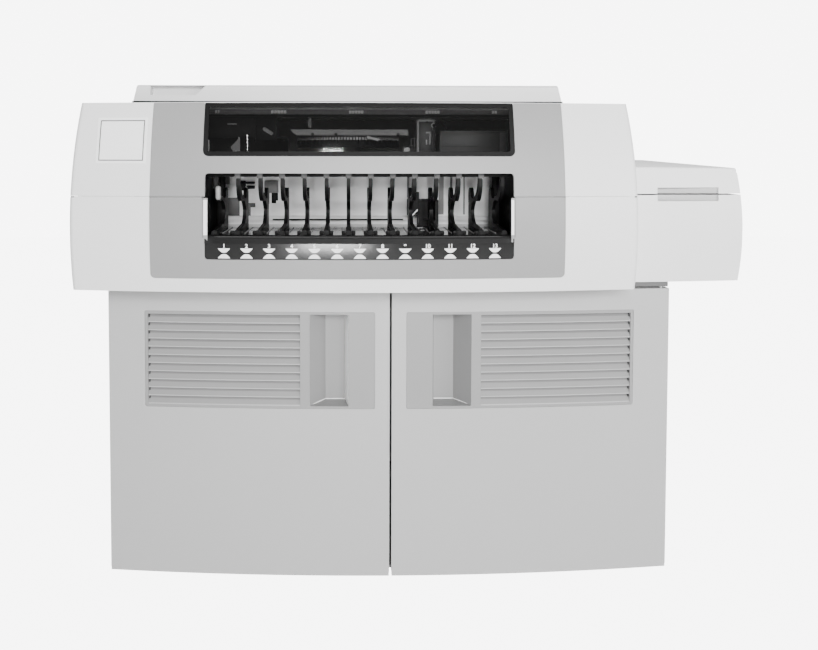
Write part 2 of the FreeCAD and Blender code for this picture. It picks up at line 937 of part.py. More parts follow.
# S-shaped side outline of a lane guide: hooked arm at the front, plate at the rear, low foot
def guide_outline():
    top = guide_top - tray_top
    arm_back = arm_front + arm_width
    shoulder = top - arm_drop
    heel = guide_depth - 2 * hook_lean
    throat = guide_depth * 0.72
    mouth = guide_depth * 0.62
    crook = guide_depth * 0.51
    hip = guide_depth * 0.8
    knee = guide_depth * 0.6
    return [
        line(guide_point(arm_front, top), guide_point(arm_front, shoulder)),
        arc(
            guide_point(arm_front, shoulder),
            guide_point(arm_front + 0.75 * arm_width, shoulder - 0.65 * hook_drop),
            guide_point(crook, shoulder - hook_drop),
        ),
        arc(
            guide_point(crook, shoulder - hook_drop),
            guide_point(throat, shoulder - 1.24 * hook_drop),
            guide_point(hip, shoulder - 1.7 * hook_drop),
        ),
        arc(
            guide_point(hip, shoulder - 1.7 * hook_drop),
            guide_point(0.95 * hip, 1.85 * waist_height),
            guide_point(knee, waist_height),
        ),
        line(guide_point(knee, waist_height), guide_point(foot_front + 3.0, foot_height_front)),
        line(guide_point(foot_front + 3.0, foot_height_front), guide_point(foot_front, 0)),
        line(guide_point(foot_front, 0), guide_point(guide_depth, 0)),
        line(guide_point(guide_depth, 0), guide_point(guide_depth, top - hook_drop - hook_lean)),
        arc(
            guide_point(guide_depth, top - hook_drop - hook_lean),
            guide_point(guide_depth - hook_lean, top - hook_drop),
            guide_point(heel, top - hook_drop - 0.43 * hook_lean),
        ),
        line(
            guide_point(heel, top - hook_drop - 0.43 * hook_lean),
            guide_point(heel - 0.5 * hook_lean, top - 2 * arm_drop),
        ),
        arc(
            guide_point(heel - 0.5 * hook_lean, top - 2 * arm_drop),
            guide_point(throat + 3.0, top - 2.2 * arm_drop),
            guide_point(mouth, top - 1.96 * arm_drop),
        ),
        arc(
            guide_point(mouth, top - 1.96 * arm_drop),
            guide_point(arm_back + 18.0, top - 1.54 * arm_drop),
            guide_point(arm_back + 2.0, top - 0.7 * arm_drop),
        ),
        line(guide_point(arm_back + 2.0, top - 0.7 * arm_drop), guide_point(arm_back, top)),
        line(guide_point(arm_back, top), guide_point(arm_front, top)),
    ]


def lane_guide(index):
    middle = bay_middle + (index - (lane_count - 2) / 2) * lane_pitch
    blade = prism(guide_outline(), Vec(guide_thickness, 0, 0))
    blade.translate(Vec(middle - guide_thickness / 2, 0, 0))
    toe = box(
        middle - guide_toe / 2,
        middle + guide_toe / 2,
        front_edge + foot_front,
        front_edge + foot_front + toe_length,
        tray_top,
        tray_top + toe_height,
    )
    return fused([blade, toe])


# Bar over the bay that the lane guides hang on, with the two ends on the cheeks
def guide_rail():
    y0 = front_edge + arm_front - clip_bite
    bar = box(
        bay_x - cheek_gap,
        bay_x + bay_width + cheek_gap,
        y0,
        y0 + rail_bar_depth,
        guide_top,
        guide_top + rail_bar_height,
    )
    return bar


def guide_clips():
    clips = []
    for index in range(lane_count - 1):
        middle = bay_middle + (index - (lane_count - 2) / 2) * lane_pitch
        clips.append(
            box(
                middle - rail_clip_width / 2,
                middle + rail_clip_width / 2,
                front_edge + arm_front - clip_bite - clip_reach,
                front_edge + arm_front - clip_bite,
                guide_top - rail_clip_height,
                guide_top + rail_bar_height,
            )
        )
        clips[-1] = clips[-1].fuse(
            box(
                middle - rail_clip_width / 2,
                middle + rail_clip_width / 2,
                front_edge + arm_front - clip_bite,
                front_edge + arm_front,
                guide_top - rail_clip_height,
                guide_top,
            )
        )
    return Part.makeCompound([clip.removeSplitter() for clip in clips])


# Dark end wall of the bay, cut down at the rear like the guides
def bay_cheek(x0):
    top = deck_bottom - tray_top
    low = guide_top - tray_top - 2 * arm_drop
    notch = guide_depth - cheek_notch
    edges = [
        line(guide_point(cheek_front, 0), guide_point(guide_depth, 0)),
        line(guide_point(guide_depth, 0), guide_point(guide_depth, low)),
        arc(
            guide_point(guide_depth, low),
            guide_point(guide_depth - hook_lean, low + hook_lean),
            guide_point(guide_depth - 2.1 * hook_lean, low + 0.5 * hook_lean),
        ),
        line(
            guide_point(guide_depth - 2.1 * hook_lean, low + 0.5 * hook_lean),
            guide_point(notch, low + 1.3 * hook_lean),
        ),
        line(guide_point(notch, low + 1.3 * hook_lean), guide_point(notch, top)),
        line(guide_point(notch, top), guide_point(cheek_front, top)),
        line(guide_point(cheek_front, top), guide_point(cheek_front, 0)),
    ]
    plate = prism(edges, Vec(cheek_thickness, 0, 0))
    plate.translate(Vec(x0, 0, 0))
    return plate


def left_cheek():
    return bay_cheek(bay_x - cheek_gap - cheek_thickness)


def right_cheek():
    return bay_cheek(bay_x + bay_width + cheek_gap)


# Light panel behind the bay, standing on the chassis
def bay_rear_wall():
    x0 = frame_left + side_frame_plate
    x1 = frame_right - side_frame_plate
    return box(x0, x1, tray_back, tray_back + wall_plate, casing_bottom, deck_bottom)


# Upright sheet frame with a post that carries one end of the hinge beam
def side_frame(x0, post_side):
    plate = box(x0, x0 + side_frame_plate, beam_front, rear_edge - frame_rear_gap, casing_bottom, deck_bottom)
    post_x = x0 + side_frame_plate if post_side > 0 else x0 - post_width
    post = box(post_x, post_x + post_width, beam_front, beam_back, casing_bottom, beam_bottom)
    return fused([plate, post])


# Plate that carries the processing mechanisms, over the bay
def instrument_deck():
    back = rear_edge - deck_rear_gap
    return box(frame_left, frame_right, front_edge + deck_front, back, deck_bottom, deck_top)


# Rail and belt-driven carriage that move racks along the aisle behind the lanes
def transport_rail():
    x0 = aisle_left + rail_end_gap
    x1 = aisle_right - rail_end_gap
    web_front = tray_back - rail_depth
    web = box(x0, x1, web_front, tray_back, tray_top, rail_z + rail_height)
    head = box(x0, x1, web_front - rail_depth, web_front, rail_z + rail_end_gap, rail_z + rail_height)
    return fused([web, head])


def transport_carriage():
    x0 = carriage_rest - carriage_width / 2
    x1 = carriage_rest + carriage_width / 2
    y1 = tray_back - carriage_lift - 1.0
    y0 = y1 - carriage_depth
    z0 = tray_top + carriage_lift
    body = box(x0, x1, y0, y1, z0, z0 + carriage_height)
    channel = box(
        x0 - 1,
        x1 + 1,
        tray_back - 2 * rail_depth - carriage_play,
        tray_back,
        z0 - 1,
        rail_z + rail_height + carriage_play,
    )
    slot = box(
        x0 + carriage_wall,
        x1 - carriage_wall,
        y0 - 1,
        y0 + carriage_pocket,
        z0 + carriage_floor,
        z0 + carriage_height + 1,
    )
    return body.cut(channel).cut(slot)


# Reagent drum: pocketed drum on a spindle that stands on the deck
def reagent_carousel():
    z0 = deck_top + reagent_lift
    base_z = z0 + reagent_floor
    top_z = z0 + reagent_height
    trough_radius = reagent_radius - trough_wall
    hub_radius = trough_radius - trough_width
    drum = rod(reagent_x, reagent_y, z0, top_z, reagent_radius)
    trough = rod(reagent_x, reagent_y, base_z, top_z + 1, trough_radius)
    hub = rod(reagent_x, reagent_y, base_z, top_z + 1, hub_radius)
    drum = drum.cut(trough.cut(hub))
    dividers = []
    for index in range(divider_count):
        divider = box(
            reagent_x + hub_radius - 1,
            reagent_x + trough_radius + 1,
            reagent_y - divider_width / 2,
            reagent_y + divider_width / 2,
            base_z - 1,
            base_z + divider_height,
        )
        divider.rotate(Vec(reagent_x, reagent_y, 0), up, (index + 0.5) * 360.0 / divider_count)
        dividers.append(divider)
    bore = rod(reagent_x, reagent_y, z0 - 1, top_z + 1, spindle_radius + pin_play)
    return fused([drum] + dividers).cut(bore)


def reagent_spindle():
    flange = rod(reagent_x, reagent_y, deck_top, deck_top + flange_thickness, 3 * spindle_radius)
    shaft_top = deck_top + reagent_height - spindle_drop
    shaft = rod(reagent_x, reagent_y, deck_top, shaft_top, spindle_radius)
    return fused([flange, shaft])


# Process path: toothed ring under a fixed round lid
def process_ring():
    ring = rod(process_x, process_y, ring_z, ring_z + ring_height, process_radius - ring_inset)
    bore = rod(process_x, process_y, ring_z - 1, ring_z + ring_height + 1, process_post_radius + pin_play)
    slots = []
    for index in range(tooth_count):
        slot = box(
            process_x + process_radius - ring_inset - tooth_depth,
            process_x + process_radius,
            process_y - tooth_width / 2,
            process_y + tooth_width / 2,
            ring_z + tooth_floor,
            ring_z + ring_height + 1,
        )
        slot.rotate(Vec(process_x, process_y, 0), up, index * 360.0 / tooth_count)
        slots.append(slot)
    return ring.cut([bore] + slots)


def process_lid():
    foot = Vec(process_x, process_y, lid_z)
    cone = Part.makeCone(process_radius - process_lid_undercut, process_radius, process_lid_height, foot)
    post = rod(process_x, process_y, deck_top, lid_z, process_post_radius)
    collar = rod(process_x, process_y, deck_top, ring_z - lug_gap, process_post_radius + collar_width)
    return fused([cone, post, collar])


# Sample pipettor: fixed column, swinging arm and rising probe
def pipettor_column():
    half = column_width / 2
    block = rounded_box(
        column_x - half, column_x + half, column_y - half, column_y + half, deck_top, column_top, column_corner, up
    )
    bore_z = column_top - shaft_depth - column_gap
    return block.cut(rod(column_x, column_y, bore_z, column_top + 1, arm_shaft_radius + pin_play))


def pipettor_arm():
    shaft = rod(column_x, column_y, column_top - shaft_depth, arm_z, arm_shaft_radius)
    half = pipettor_width / 2
    beam = rounded_box(
        column_x - half,
        column_x + half,
        column_y - half,
        column_y + arm_length + half,
        arm_z,
        arm_z + arm_thickness,
        half * 0.96,
        up,
    )
    tip_y = column_y + arm_length
    bore = rod(column_x, tip_y, arm_z - 1, arm_z + arm_thickness + 1, probe_radius + pin_play)
    return fused([shaft, beam]).cut(bore)


def sample_probe():
    tip_y = column_y + arm_length
    tip_z = lid_z + process_lid_height + probe_clearance
    head_z = arm_z + arm_thickness + probe_rest_gap
    needle = rod(column_x, tip_y, tip_z, head_z, probe_radius)
    head = rod(column_x, tip_y, head_z, head_z + probe_head_height, 3 * probe_radius)
    return fused([needle, head])


# Grey washer housing right of the column
def wash_station():
    x0 = column_x + column_width / 2 + washer_gap
    x1 = frame_right - washer_right_gap
    y0 = column_y - washer_setback
    return rounded_box(x0, x1, y0, y0 + washer_depth, deck_top, deck_top + washer_height, washer_corner, up)


# Hose from the washer's top over its front edge and down to the deck
def wash_hose():
    washer_top = deck_top + washer_height
    start = Vec(column_x + column_width / 2 + hose_offset, column_y - hose_setback, washer_top)
    rise_end = start + up * hose_rise
    step = hose_heading.normalize() * hose_bend
    crest = rise_end + step + up * hose_bend
    drop_start = rise_end + step * 2
    end = Vec(drop_start.x, drop_start.y, deck_top)
    path = Part.Wire([line(start, rise_end), arc(rise_end, crest, drop_start), line(drop_start, end)])
    ring = Part.Wire([Part.Circle(start, up, hose_radius).toShape()])
    return path.makePipeShell([ring], True, False)


# Cabinet
def door_y(x, offset):
    run = math.sqrt((door_plan_radius - offset) ** 2 - (x - cabinet_middle) ** 2)
    return door_front + door_plan_radius - run


# Slab that follows the plan curve of the doors
def door_slab(x0, x1, near, far, z0, z1):
    middle = (x0 + x1) / 2
    front = [Vec(x, door_y(x, near), z0) for x in (x0, middle, x1)]
    back = [Vec(x, door_y(x, far), z0) for x in (x1, middle, x0)]
    edges = [arc(*front), line(front[2], back[0]), arc(*back), line(back[2], front[0])]
    return prism(edges, Vec(0, 0, z1 - z0))


def door_span(side):
    if side < 0:
        return cabinet_left, cabinet_middle - door_split / 2
    return cabinet_middle + door_split / 2, cabinet_right


# Distance from the split between the doors, outwards on one side
def from_split(side, distance):
    return cabinet_middle + side * (door_split / 2 + distance)


def span(side, near, far):
    ends = sorted((from_split(side, near), from_split(side, far)))
    return ends[0], ends[1]


def insert_opening(side, margin):
    x0, x1 = span(side, insert_side - margin, insert_side + insert_width + margin)
    z1 = door_top - insert_top + margin
    z0 = door_top - insert_top - insert_height - margin
    return x0, x1, z0, z1


def door(side):
    x0, x1 = door_span(side)
    slab = door_slab(x0, x1, 0, door_thickness, door_bottom, door_top)
    inner = list(span(side, door_rim, (x1 - x0) - door_hinge_rim))
    pan = door_slab(
        inner[0], inner[1], door_skin, door_thickness + 1, door_bottom + door_rim, door_top - door_rim
    )
    slab = slab.cut(pan)
    ox0, ox1, oz0, oz1 = insert_opening(side, 0)
    slab = slab.cut(rounded_box(ox0, ox1, door_front - 1, 0, oz0, oz1, 4.0, along_y))
    x = hinge_left_x if side < 0 else hinge_right_x
    hole = door_pin_radius + pin_play
    for z0 in (door_bottom - 1, door_top - door_pin_reach - 1):
        slab = slab.cut(rod(x, hinge_door_y, z0, z0 + door_pin_reach + 2, hole))
    return slab


# Sawtooth blade of the louvre, swept along the door's plan curve
def slat_ring(z0, pitch):
    axis = Vec(cabinet_middle, door_front + door_plan_radius, 0)
    near = door_front + 1.5
    far = near + slat_depth
    section = [
        Vec(cabinet_middle, near, z0),
        Vec(cabinet_middle, near + slat_thickness, z0),
        Vec(cabinet_middle, far, z0 + pitch + slat_lap - slat_thickness),
        Vec(cabinet_middle, far, z0 + pitch + slat_lap),
        Vec(cabinet_middle, far - slat_thickness, z0 + pitch + slat_lap),
        Vec(cabinet_middle, near, z0 + slat_thickness),
    ]
    face = Part.Face(Part.makePolygon(section + section[:1]))
    half_angle = math.degrees(math.asin(cabinet_width * 0.52 / (door_plan_radius - slat_depth - 10)))
    face.rotate(axis, up, -half_angle)
    return face.revolve(axis, up, 2 * half_angle)


# Moulded insert: lipped plate, louvre and handle pocket in one piece
def door_insert(side):
    ox0, ox1, oz0, oz1 = insert_opening(side, -skin_gap)
    near = door_skin + skin_gap
    root = near + insert_plate / 2
    face = door_slab(ox0, ox1, insert_recess, root, oz0, oz1)
    corners = rounded_box(ox0, ox1, door_front - 1, 0, oz0, oz1, 4.0 - skin_gap, along_y)
    face = face.common(corners)
    lx0, lx1, lz0, lz1 = insert_opening(side, insert_lip)
    lip = door_slab(lx0, lx1, near, near + insert_plate, lz0, lz1)
    body = fused([face, lip])
    outer_end = insert_side + insert_width
    vent = list(span(side, outer_end - louvre_margin - louvre_width, outer_end - louvre_margin))
    vent_z0 = oz0 + louvre_margin
    vent_z1 = oz1 - louvre_margin
    wall = pocket_wall
    box_depth = slat_depth + 2 * slat_thickness
    shroud = door_slab(vent[0] - wall, vent[1] + wall, root, box_depth, vent_z0 - wall, vent_z1 + wall)
    hollow = door_slab(vent[0], vent[1], -1, box_depth + 1, vent_z0, vent_z1)
    pocket_z1 = (oz0 + oz1) / 2 + pocket_height / 2
    pocket_z0 = pocket_z1 - pocket_height
    steep = from_split(side, insert_side + pocket_from_side)
    steep_back = from_split(side, insert_side + pocket_from_side + pocket_steep)
    slant_back = from_split(side, insert_side + pocket_from_side + pocket_steep + pocket_back)
    slant = from_split(side, insert_side + pocket_from_side + pocket_mouth)
    mouth_y = door_front - 1
    back_y = door_front + pocket_depth
    start_y = door_front + near
    outline = [
        Vec(steep - side * wall, start_y, pocket_z0 - wall),
        Vec(steep_back - side * wall, back_y + wall, pocket_z0 - wall),
        Vec(slant_back + side * wall, back_y + wall, pocket_z0 - wall),
        Vec(slant + side * wall, start_y, pocket_z0 - wall),
    ]
    housing = polygon_prism(outline, Vec(0, 0, pocket_height + 2 * wall))
    inner_outline = [
        Vec(steep, mouth_y, pocket_z0),
        Vec(steep, start_y, pocket_z0),
        Vec(steep_back, back_y, pocket_z0),
        Vec(slant_back, back_y, pocket_z0),
        Vec(slant, start_y, pocket_z0),
        Vec(slant, mouth_y, pocket_z0),
    ]
    cavity = polygon_prism(inner_outline, Vec(0, 0, pocket_height))
    body = fused([body, shroud, housing]).cut([hollow, cavity])
    pitch = (vent_z1 - vent_z0) / slat_count
    slats = []
    bite = 0.7 * wall
    frame = box(vent[0] - bite, vent[1] + bite, door_front - 1, 0, vent_z0 - bite, vent_z1 + bite)
    for index in range(slat_count):
        slats.append(slat_ring(vent_z0 + index * pitch - 0.4 * slat_lap, pitch).common(frame))
    return fused([body] + slats)


def door_hinge_pins():
    pins = []
    for x in (hinge_left_x, hinge_right_x):
        pins.append(rod(x, hinge_door_y, frame_top, door_bottom + door_pin_reach - 2, door_pin_radius))
        pins.append(rod(x, hinge_door_y, door_top - door_pin_reach + 2, casing_bottom, door_pin_radius))
    return Part.makeCompound(pins)


# Welded frame of channel sections, open below
def base_frame():
    x0 = cabinet_left + frame_inset
    x1 = cabinet_right - frame_inset
    y0 = front_edge + base_setback
    y1 = carcass_back - base_rear_gap
    width = frame_height
    middle = (x0 + x1) / 2
    rib_left = middle - width / 2
    rib_right = middle + width / 2
    ring = box(x0, x1, y0, y1, foot_height, frame_top)
    wells = [
        box(x0 + width, rib_left, y0 + width, y1 - width, foot_height - 1, frame_top + 1),
        box(rib_right, x1 - width, y0 + width, y1 - width, foot_height - 1, frame_top + 1),
    ]
    low = foot_height - 1
    high = frame_top - channel_sheet
    left = x0 + channel_sheet
    right = x1 - channel_sheet
    front = y0 + channel_sheet
    back = y1 - channel_sheet
    channels = [
        box(left, right, front, y0 + width - channel_sheet, low, high),
        box(left, right, y1 - width + channel_sheet, back, low, high),
        box(left, x0 + width - channel_sheet, front, back, low, high),
        box(x1 - width + channel_sheet, right, front, back, low, high),
        box(rib_left + channel_sheet, rib_right - channel_sheet, front, back, low, high),
    ]
    return ring.cut(wells).cut(channels)


def levelling_feet():
    half = frame_height / 2
    feet = []
    for x in (cabinet_left + frame_inset + half, cabinet_right - frame_inset - half):
        for y in (front_edge + foot_setback, carcass_back - base_rear_gap - 2.5 * half):
            pad = Part.makeCone(foot_pad_radius, foot_pad_top_radius, foot_pad_height, Vec(x, y, 0))
            stud = rod(x, y, 0, frame_top - channel_sheet, stud_radius)
            nut_top = foot_height - nut_gap
            nut = rod(x, y, nut_top - nut_height, nut_top, nut_radius)
            feet.append(fused([pad, stud, nut]))
    return Part.makeCompound(feet)


# Floor plate of the cabinet, which also carries the lower door pins
def cabinet_floor():
    plate = box(cabinet_left, cabinet_right, chassis_front, carcass_back, frame_top, floor_top)
    for x in (hinge_left_x, hinge_right_x):
        plate = plate.cut(rod(x, hinge_door_y, frame_top - 1, floor_top + 1, door_pin_radius))
    return plate


def chassis_deck():
    plate = box(cabinet_left, cabinet_right, chassis_front, carcass_back, chassis_bottom, casing_bottom)
    for x in (hinge_left_x, hinge_right_x):
        plate = plate.cut(rod(x, hinge_door_y, chassis_bottom - 1, casing_bottom + 1, door_pin_radius))
    return plate


# Side panel of folded sheet with a flange along its front edge
def side_panel(x0, inward):
    x1 = x0 + inward * sheet
    flange_x = x0 + inward * side_flange
    skin_box = box(min(x0, x1), max(x0, x1), cabinet_carcass_front, carcass_back, floor_top, chassis_bottom)
    flange = box(
        min(x0, flange_x),
        max(x0, flange_x),
        cabinet_carcass_front,
        cabinet_carcass_front + sheet,
        floor_top,
        chassis_bottom,
    )
    return fused([skin_box, flange])


def left_side_panel():
    return side_panel(cabinet_left, 1)


def right_side_panel():
    return side_panel(cabinet_right, -1)


# Rear panel with a bank of cooling slots and the round opening of the fan
def rear_panel():
    y1 = carcass_back
    panel = box(cabinet_left + sheet, cabinet_right - sheet, y1 - sheet, y1, floor_top, chassis_bottom)
    cuts = [rod_y(fan_x, y1 - sheet - 1, y1 + 1, fan_z, fan_radius)]
    for column in range(slot_columns):
        x = cabinet_middle + slot_shift + column * slot_column_pitch
        for row in range(slot_rows):
            z = chassis_bottom - slot_drop - row * slot_pitch
            cuts.append(box(x, x + slot_length, y1 - sheet - 1, y1 + 1, z, z + slot_height))
    return panel.cut(cuts)


def fan_housing():
    y1 = carcass_back - sheet
    y0 = y1 - fan_depth
    half = fan_radius + fan_frame
    block = box(fan_x - half, fan_x + half, y0, y1, fan_z - half, fan_z + half)
    block = block.cut(rod_y(fan_x, y0 - 1, y1 + 1, fan_z, fan_radius))
    arms = [rod_y(fan_x, y0, y0 + fan_boss_height, fan_z, fan_boss_radius)]
    half_arm = fan_arm_width / 2
    for index in range(3):
        arm = box(fan_x, fan_x + fan_radius + 2, y0, y0 + fan_arm_thickness, fan_z - half_arm, fan_z + half_arm)
        arm.rotate(Vec(fan_x, 0, fan_z), along_y, 90.0 + index * 120.0)
        arms.append(arm)
    axle = rod_y(fan_x, y0, y1 - fan_end_gap - 1, fan_z, fan_axle_radius)
    return fused([block] + arms + [axle])


def fan_rotor():
    y1 = carcass_back - sheet
    y0 = y1 - fan_depth + fan_boss_height + fan_arm_thickness
    root = fan_hub_radius - 3.0
    tip = fan_radius - 3.0
    middle = (y0 + y1 - fan_end_gap) / 2 - 1.0
    blades = [rod_y(fan_x, y0, y1 - fan_end_gap, fan_z, fan_hub_radius)]
    for index in range(blade_count):
        blade = box(
            fan_x + root,
            fan_x + tip,
            middle - blade_thickness / 2,
            middle + blade_thickness / 2,
            fan_z - blade_width / 2,
            fan_z + blade_width / 2,
        )
        blade.rotate(Vec(fan_x + root, middle, fan_z), along_x, blade_pitch)
        blade.rotate(Vec(fan_x, 0, fan_z), along_y, index * 360.0 / blade_count)
        blades.append(blade)
    return fused(blades).cut(rod_y(fan_x, y0 - 1, y1, fan_z, fan_axle_radius + pin_play))


# Moulded container: body with rounded corners, neck and screw cap; its height is to the cap's top
def bottle(x, y, size):
    width, depth, height = size
    shoulder = floor_top + height - cap_height - neck_height
    neck_top = shoulder + neck_height
    body = rounded_box(x, x + width, y, y + depth, floor_top, shoulder, bottle_corner, up)
    neck = rod(x + width / 2, y + depth / 2, shoulder - 1, neck_top, neck_radius)
    cap = rod(x + width / 2, y + depth / 2, neck_top, neck_top + cap_height, cap_radius)
    return fused([body, neck, cap])


def buffer_bottle():
    return bottle(cabinet_left + buffer_shift, content_front, buffer_size)


def waste_container():
    return bottle(cabinet_middle + waste_shift, content_front, waste_size)


def electronics_box():
    width, depth, height = electronics_size
    x0 = cabinet_middle + electronics_shift
    y1 = carcass_back - electronics_gap
    y0 = y1 - depth
    block = rounded_box(x0, x0 + width, y0, y1, floor_top, floor_top + height, electronics_corner, up)
    slots = []
    for row in range(vent_count):
        z = floor_top + vent_start + row * vent_pitch
        slots.append(box(x0 + vent_margin, x0 + width - vent_margin, y0 - 1, y0 + vent_depth, z, z + vent_height))
    return block.cut(slots)


def write(name, shape):
    shape.exportStep("parts/" + name + ".step")


os.makedirs("parts", exist_ok=True)
sub_parts = {
    "levelling_feet": levelling_feet,
    "base_frame": base_frame,
    "cabinet_floor": cabinet_floor,
    "left_side_panel": left_side_panel,
    "right_side_panel": right_side_panel,
    "rear_panel": rear_panel,
    "fan_housing": fan_housing,
    "fan_rotor": fan_rotor,
    "hopper_floor": hopper_floor,
    "chassis_deck": chassis_deck,
    "door_hinge_pins": door_hinge_pins,
    "buffer_bottle": buffer_bottle,
    "waste_container": waste_container,
    "electronics_box": electronics_box,
    "lower_casing": lower_casing,
    "lower_fascia": lower_fascia,
    "number_strip": number_strip,
    "cover_shell": cover_shell,
    "cover_fascia": cover_fascia,
    "cover_window": cover_window,
    "cover_hinge_pins": cover_hinge_pins,
    "inner_frame": inner_frame,
    "rear_casing": rear_casing,
    "top_cover": top_cover,
    "hopper_bin": hopper_bin,
    "hopper_lid": hopper_lid,
    "bay_tray": bay_tray,
    "left_cheek": left_cheek,
    "right_cheek": right_cheek,
    "bay_rear_wall": bay_rear_wall,
    "guide_rail": guide_rail,
    "guide_clips": guide_clips,
    "instrument_deck": instrument_deck,
    "transport_rail": transport_rail,
    "transport_carriage": transport_carriage,
    "reagent_carousel": reagent_carousel,
    "reagent_spindle": reagent_spindle,
    "process_ring": process_ring,
    "process_lid": process_lid,
    "pipettor_column": pipettor_column,
    "pipettor_arm": pipettor_arm,
    "sample_probe": sample_probe,
    "wash_station": wash_station,
    "wash_hose": wash_hose,
}
for name, make in sub_parts.items():
    write(name, make())
write("left_door", door(-1))
write("right_door", door(1))
write("left_door_insert", door_insert(-1))
write("right_door_insert", door_insert(1))
for index in range(lane_count - 1):
    write("lane_guide_%d" % (index + 1), lane_guide(index))
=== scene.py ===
import json
import math

import bmesh
import bpy
from mathutils import Matrix, Vector
from mathutils.bvhtree import BVHTree


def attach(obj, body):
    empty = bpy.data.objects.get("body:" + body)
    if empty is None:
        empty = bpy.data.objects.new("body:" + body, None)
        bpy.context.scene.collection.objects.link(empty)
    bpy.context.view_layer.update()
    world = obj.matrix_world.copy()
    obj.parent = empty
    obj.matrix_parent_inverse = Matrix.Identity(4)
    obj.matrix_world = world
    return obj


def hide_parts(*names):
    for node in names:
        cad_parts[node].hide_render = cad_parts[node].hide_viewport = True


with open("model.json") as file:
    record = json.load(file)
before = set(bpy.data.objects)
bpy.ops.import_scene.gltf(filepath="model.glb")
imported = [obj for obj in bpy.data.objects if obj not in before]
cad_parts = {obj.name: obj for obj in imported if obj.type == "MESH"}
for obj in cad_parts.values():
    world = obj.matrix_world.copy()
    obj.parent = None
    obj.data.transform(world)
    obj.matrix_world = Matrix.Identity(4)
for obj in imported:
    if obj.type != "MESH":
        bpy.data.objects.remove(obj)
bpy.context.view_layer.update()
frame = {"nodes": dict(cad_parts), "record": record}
nodes = frame["nodes"]
mm = 0.001  # sizes below are in millimetres, as in the part's source
print("frame loaded:", len(nodes), "nodes")


class Signal:  # a value in a material, so that shader maths reads as a sum
    def __init__(self, paint, socket):
        self.paint = paint
        self.socket = socket

    def withOther(self, operation, other, swapped=False):
        first, second = (other, self) if swapped else (self, other)
        return self.paint.node("ShaderNodeMath", {"operation": operation}, {0: first, 1: second})

    def __add__(self, other):
        return self.withOther("ADD", other)

    def __radd__(self, other):
        return self.withOther("ADD", other, True)

    def __mul__(self, other):
        return self.withOther("MULTIPLY", other)


class Paint:
    def __init__(self, name):
        self.material = bpy.data.materials.new(name)
        self.material.use_nodes = True
        self.tree = self.material.node_tree
        self.tree.nodes.clear()
        self.end = self.tree.nodes.new("ShaderNodeOutputMaterial")

    def node(self, kind, settings, sockets, output=0):
        made = self.tree.nodes.new(kind)
        for key, value in settings.items():
            setattr(made, key, value)
        for key, value in sockets.items():
            if isinstance(value, Signal):
                self.tree.links.new(value.socket, made.inputs[key])
            else:
                made.inputs[key].default_value = value
        return Signal(self, made.outputs[output])

    def place(self):  # object coordinates in metres
        return self.node("ShaderNodeTexCoord", {}, {}, "Object")

    def noise(self, scale, detail=2.0, roughness=0.5):
        return self.node(
            "ShaderNodeTexNoise", {}, {"Vector": self.place(), "Scale": scale, "Detail": detail, "Roughness": roughness}
        )

    def grain(self, height, distance):
        return self.node("ShaderNodeBump", {}, {"Height": height, "Distance": distance, "Strength": 1.0})

    def shades(self, amount, dark, light):  # grey between two levels
        return self.node(
            "ShaderNodeMix",
            {"data_type": "RGBA"},
            {"Factor": amount, 6: (dark, dark, dark, 1.0), 7: (light, light, light, 1.0)},
            2,
        )

    def finish(self, sockets):
        shader = self.node("ShaderNodeBsdfPrincipled", {}, sockets)
        self.tree.links.new(shader.socket, self.end.inputs["Surface"])
        return self.material


def mouldedPlastic(name, level, spread, roughness, grainSize, grainDepth, coat=0.0, shine=0.5):
    paint = Paint(name)
    cloud = paint.noise(5.0, 3.0)
    mottle = paint.noise(60.0, 2.0)
    colour = paint.shades(cloud * 0.7 + mottle * 0.3, level - spread, level + spread)
    fine = paint.noise(grainSize, 1.0, 0.4)
    return paint.finish({
        "Base Color": colour,
        "Roughness": roughness - 0.05 + cloud * 0.1,
        "Coat Weight": coat,
        "Coat Roughness": 0.3,
        "Specular IOR Level": shine,
        "Normal": paint.grain(fine, grainDepth),
    })


def powderCoat(name, level, spread, roughness, peelSize, peelDepth):
    paint = Paint(name)
    cloud = paint.noise(4.0, 2.0)
    peel = paint.node(
        "ShaderNodeTexVoronoi",
        {"feature": "SMOOTH_F1"},
        {"Vector": paint.place(), "Scale": peelSize, "Smoothness": 0.6},
    )
    colour = paint.shades(cloud, level - spread, level + spread)
    return paint.finish({
        "Base Color": colour,
        "Roughness": roughness - 0.04 + cloud * 0.08,
        "Normal": paint.grain(peel, peelDepth),
    })


def turnedMetal(name, level, roughness, ringSize, stretch):
    paint = Paint(name)
    stretched = paint.node("ShaderNodeMapping", {}, {"Vector": paint.place(), "Scale": stretch})
    brush = paint.node(
        "ShaderNodeTexNoise", {}, {"Vector": stretched, "Scale": ringSize, "Detail": 2.0, "Roughness": 0.6}
    )
    return paint.finish({
        "Base Color": paint.shades(brush, level - 0.06, level + 0.06),
        "Metallic": 1.0,
        "Roughness": roughness - 0.06 + brush * 0.12,
        "Normal": paint.grain(brush, 0.00004),
    })


def smokedPane():
    paint = Paint("smokedWindow")
    dust = paint.noise(300.0, 3.0, 0.6)
    return paint.finish({
        "Base Color": (0.004, 0.004, 0.004, 1.0),
        "Roughness": 0.03 + dust * 0.04,
        "Alpha": 0.36,
        "Specular IOR Level": 0.3,
    })


def glossStrip():
    paint = Paint("numberStripGloss")
    cloud = paint.noise(8.0, 2.0)
    wave = paint.noise(30.0, 1.0)
    return paint.finish({
        "Base Color": paint.shades(cloud, 0.012, 0.018),
        "Roughness": 0.10 + cloud * 0.05,
        "Specular IOR Level": 0.24,
        "Normal": paint.grain(wave, 0.00008),
    })


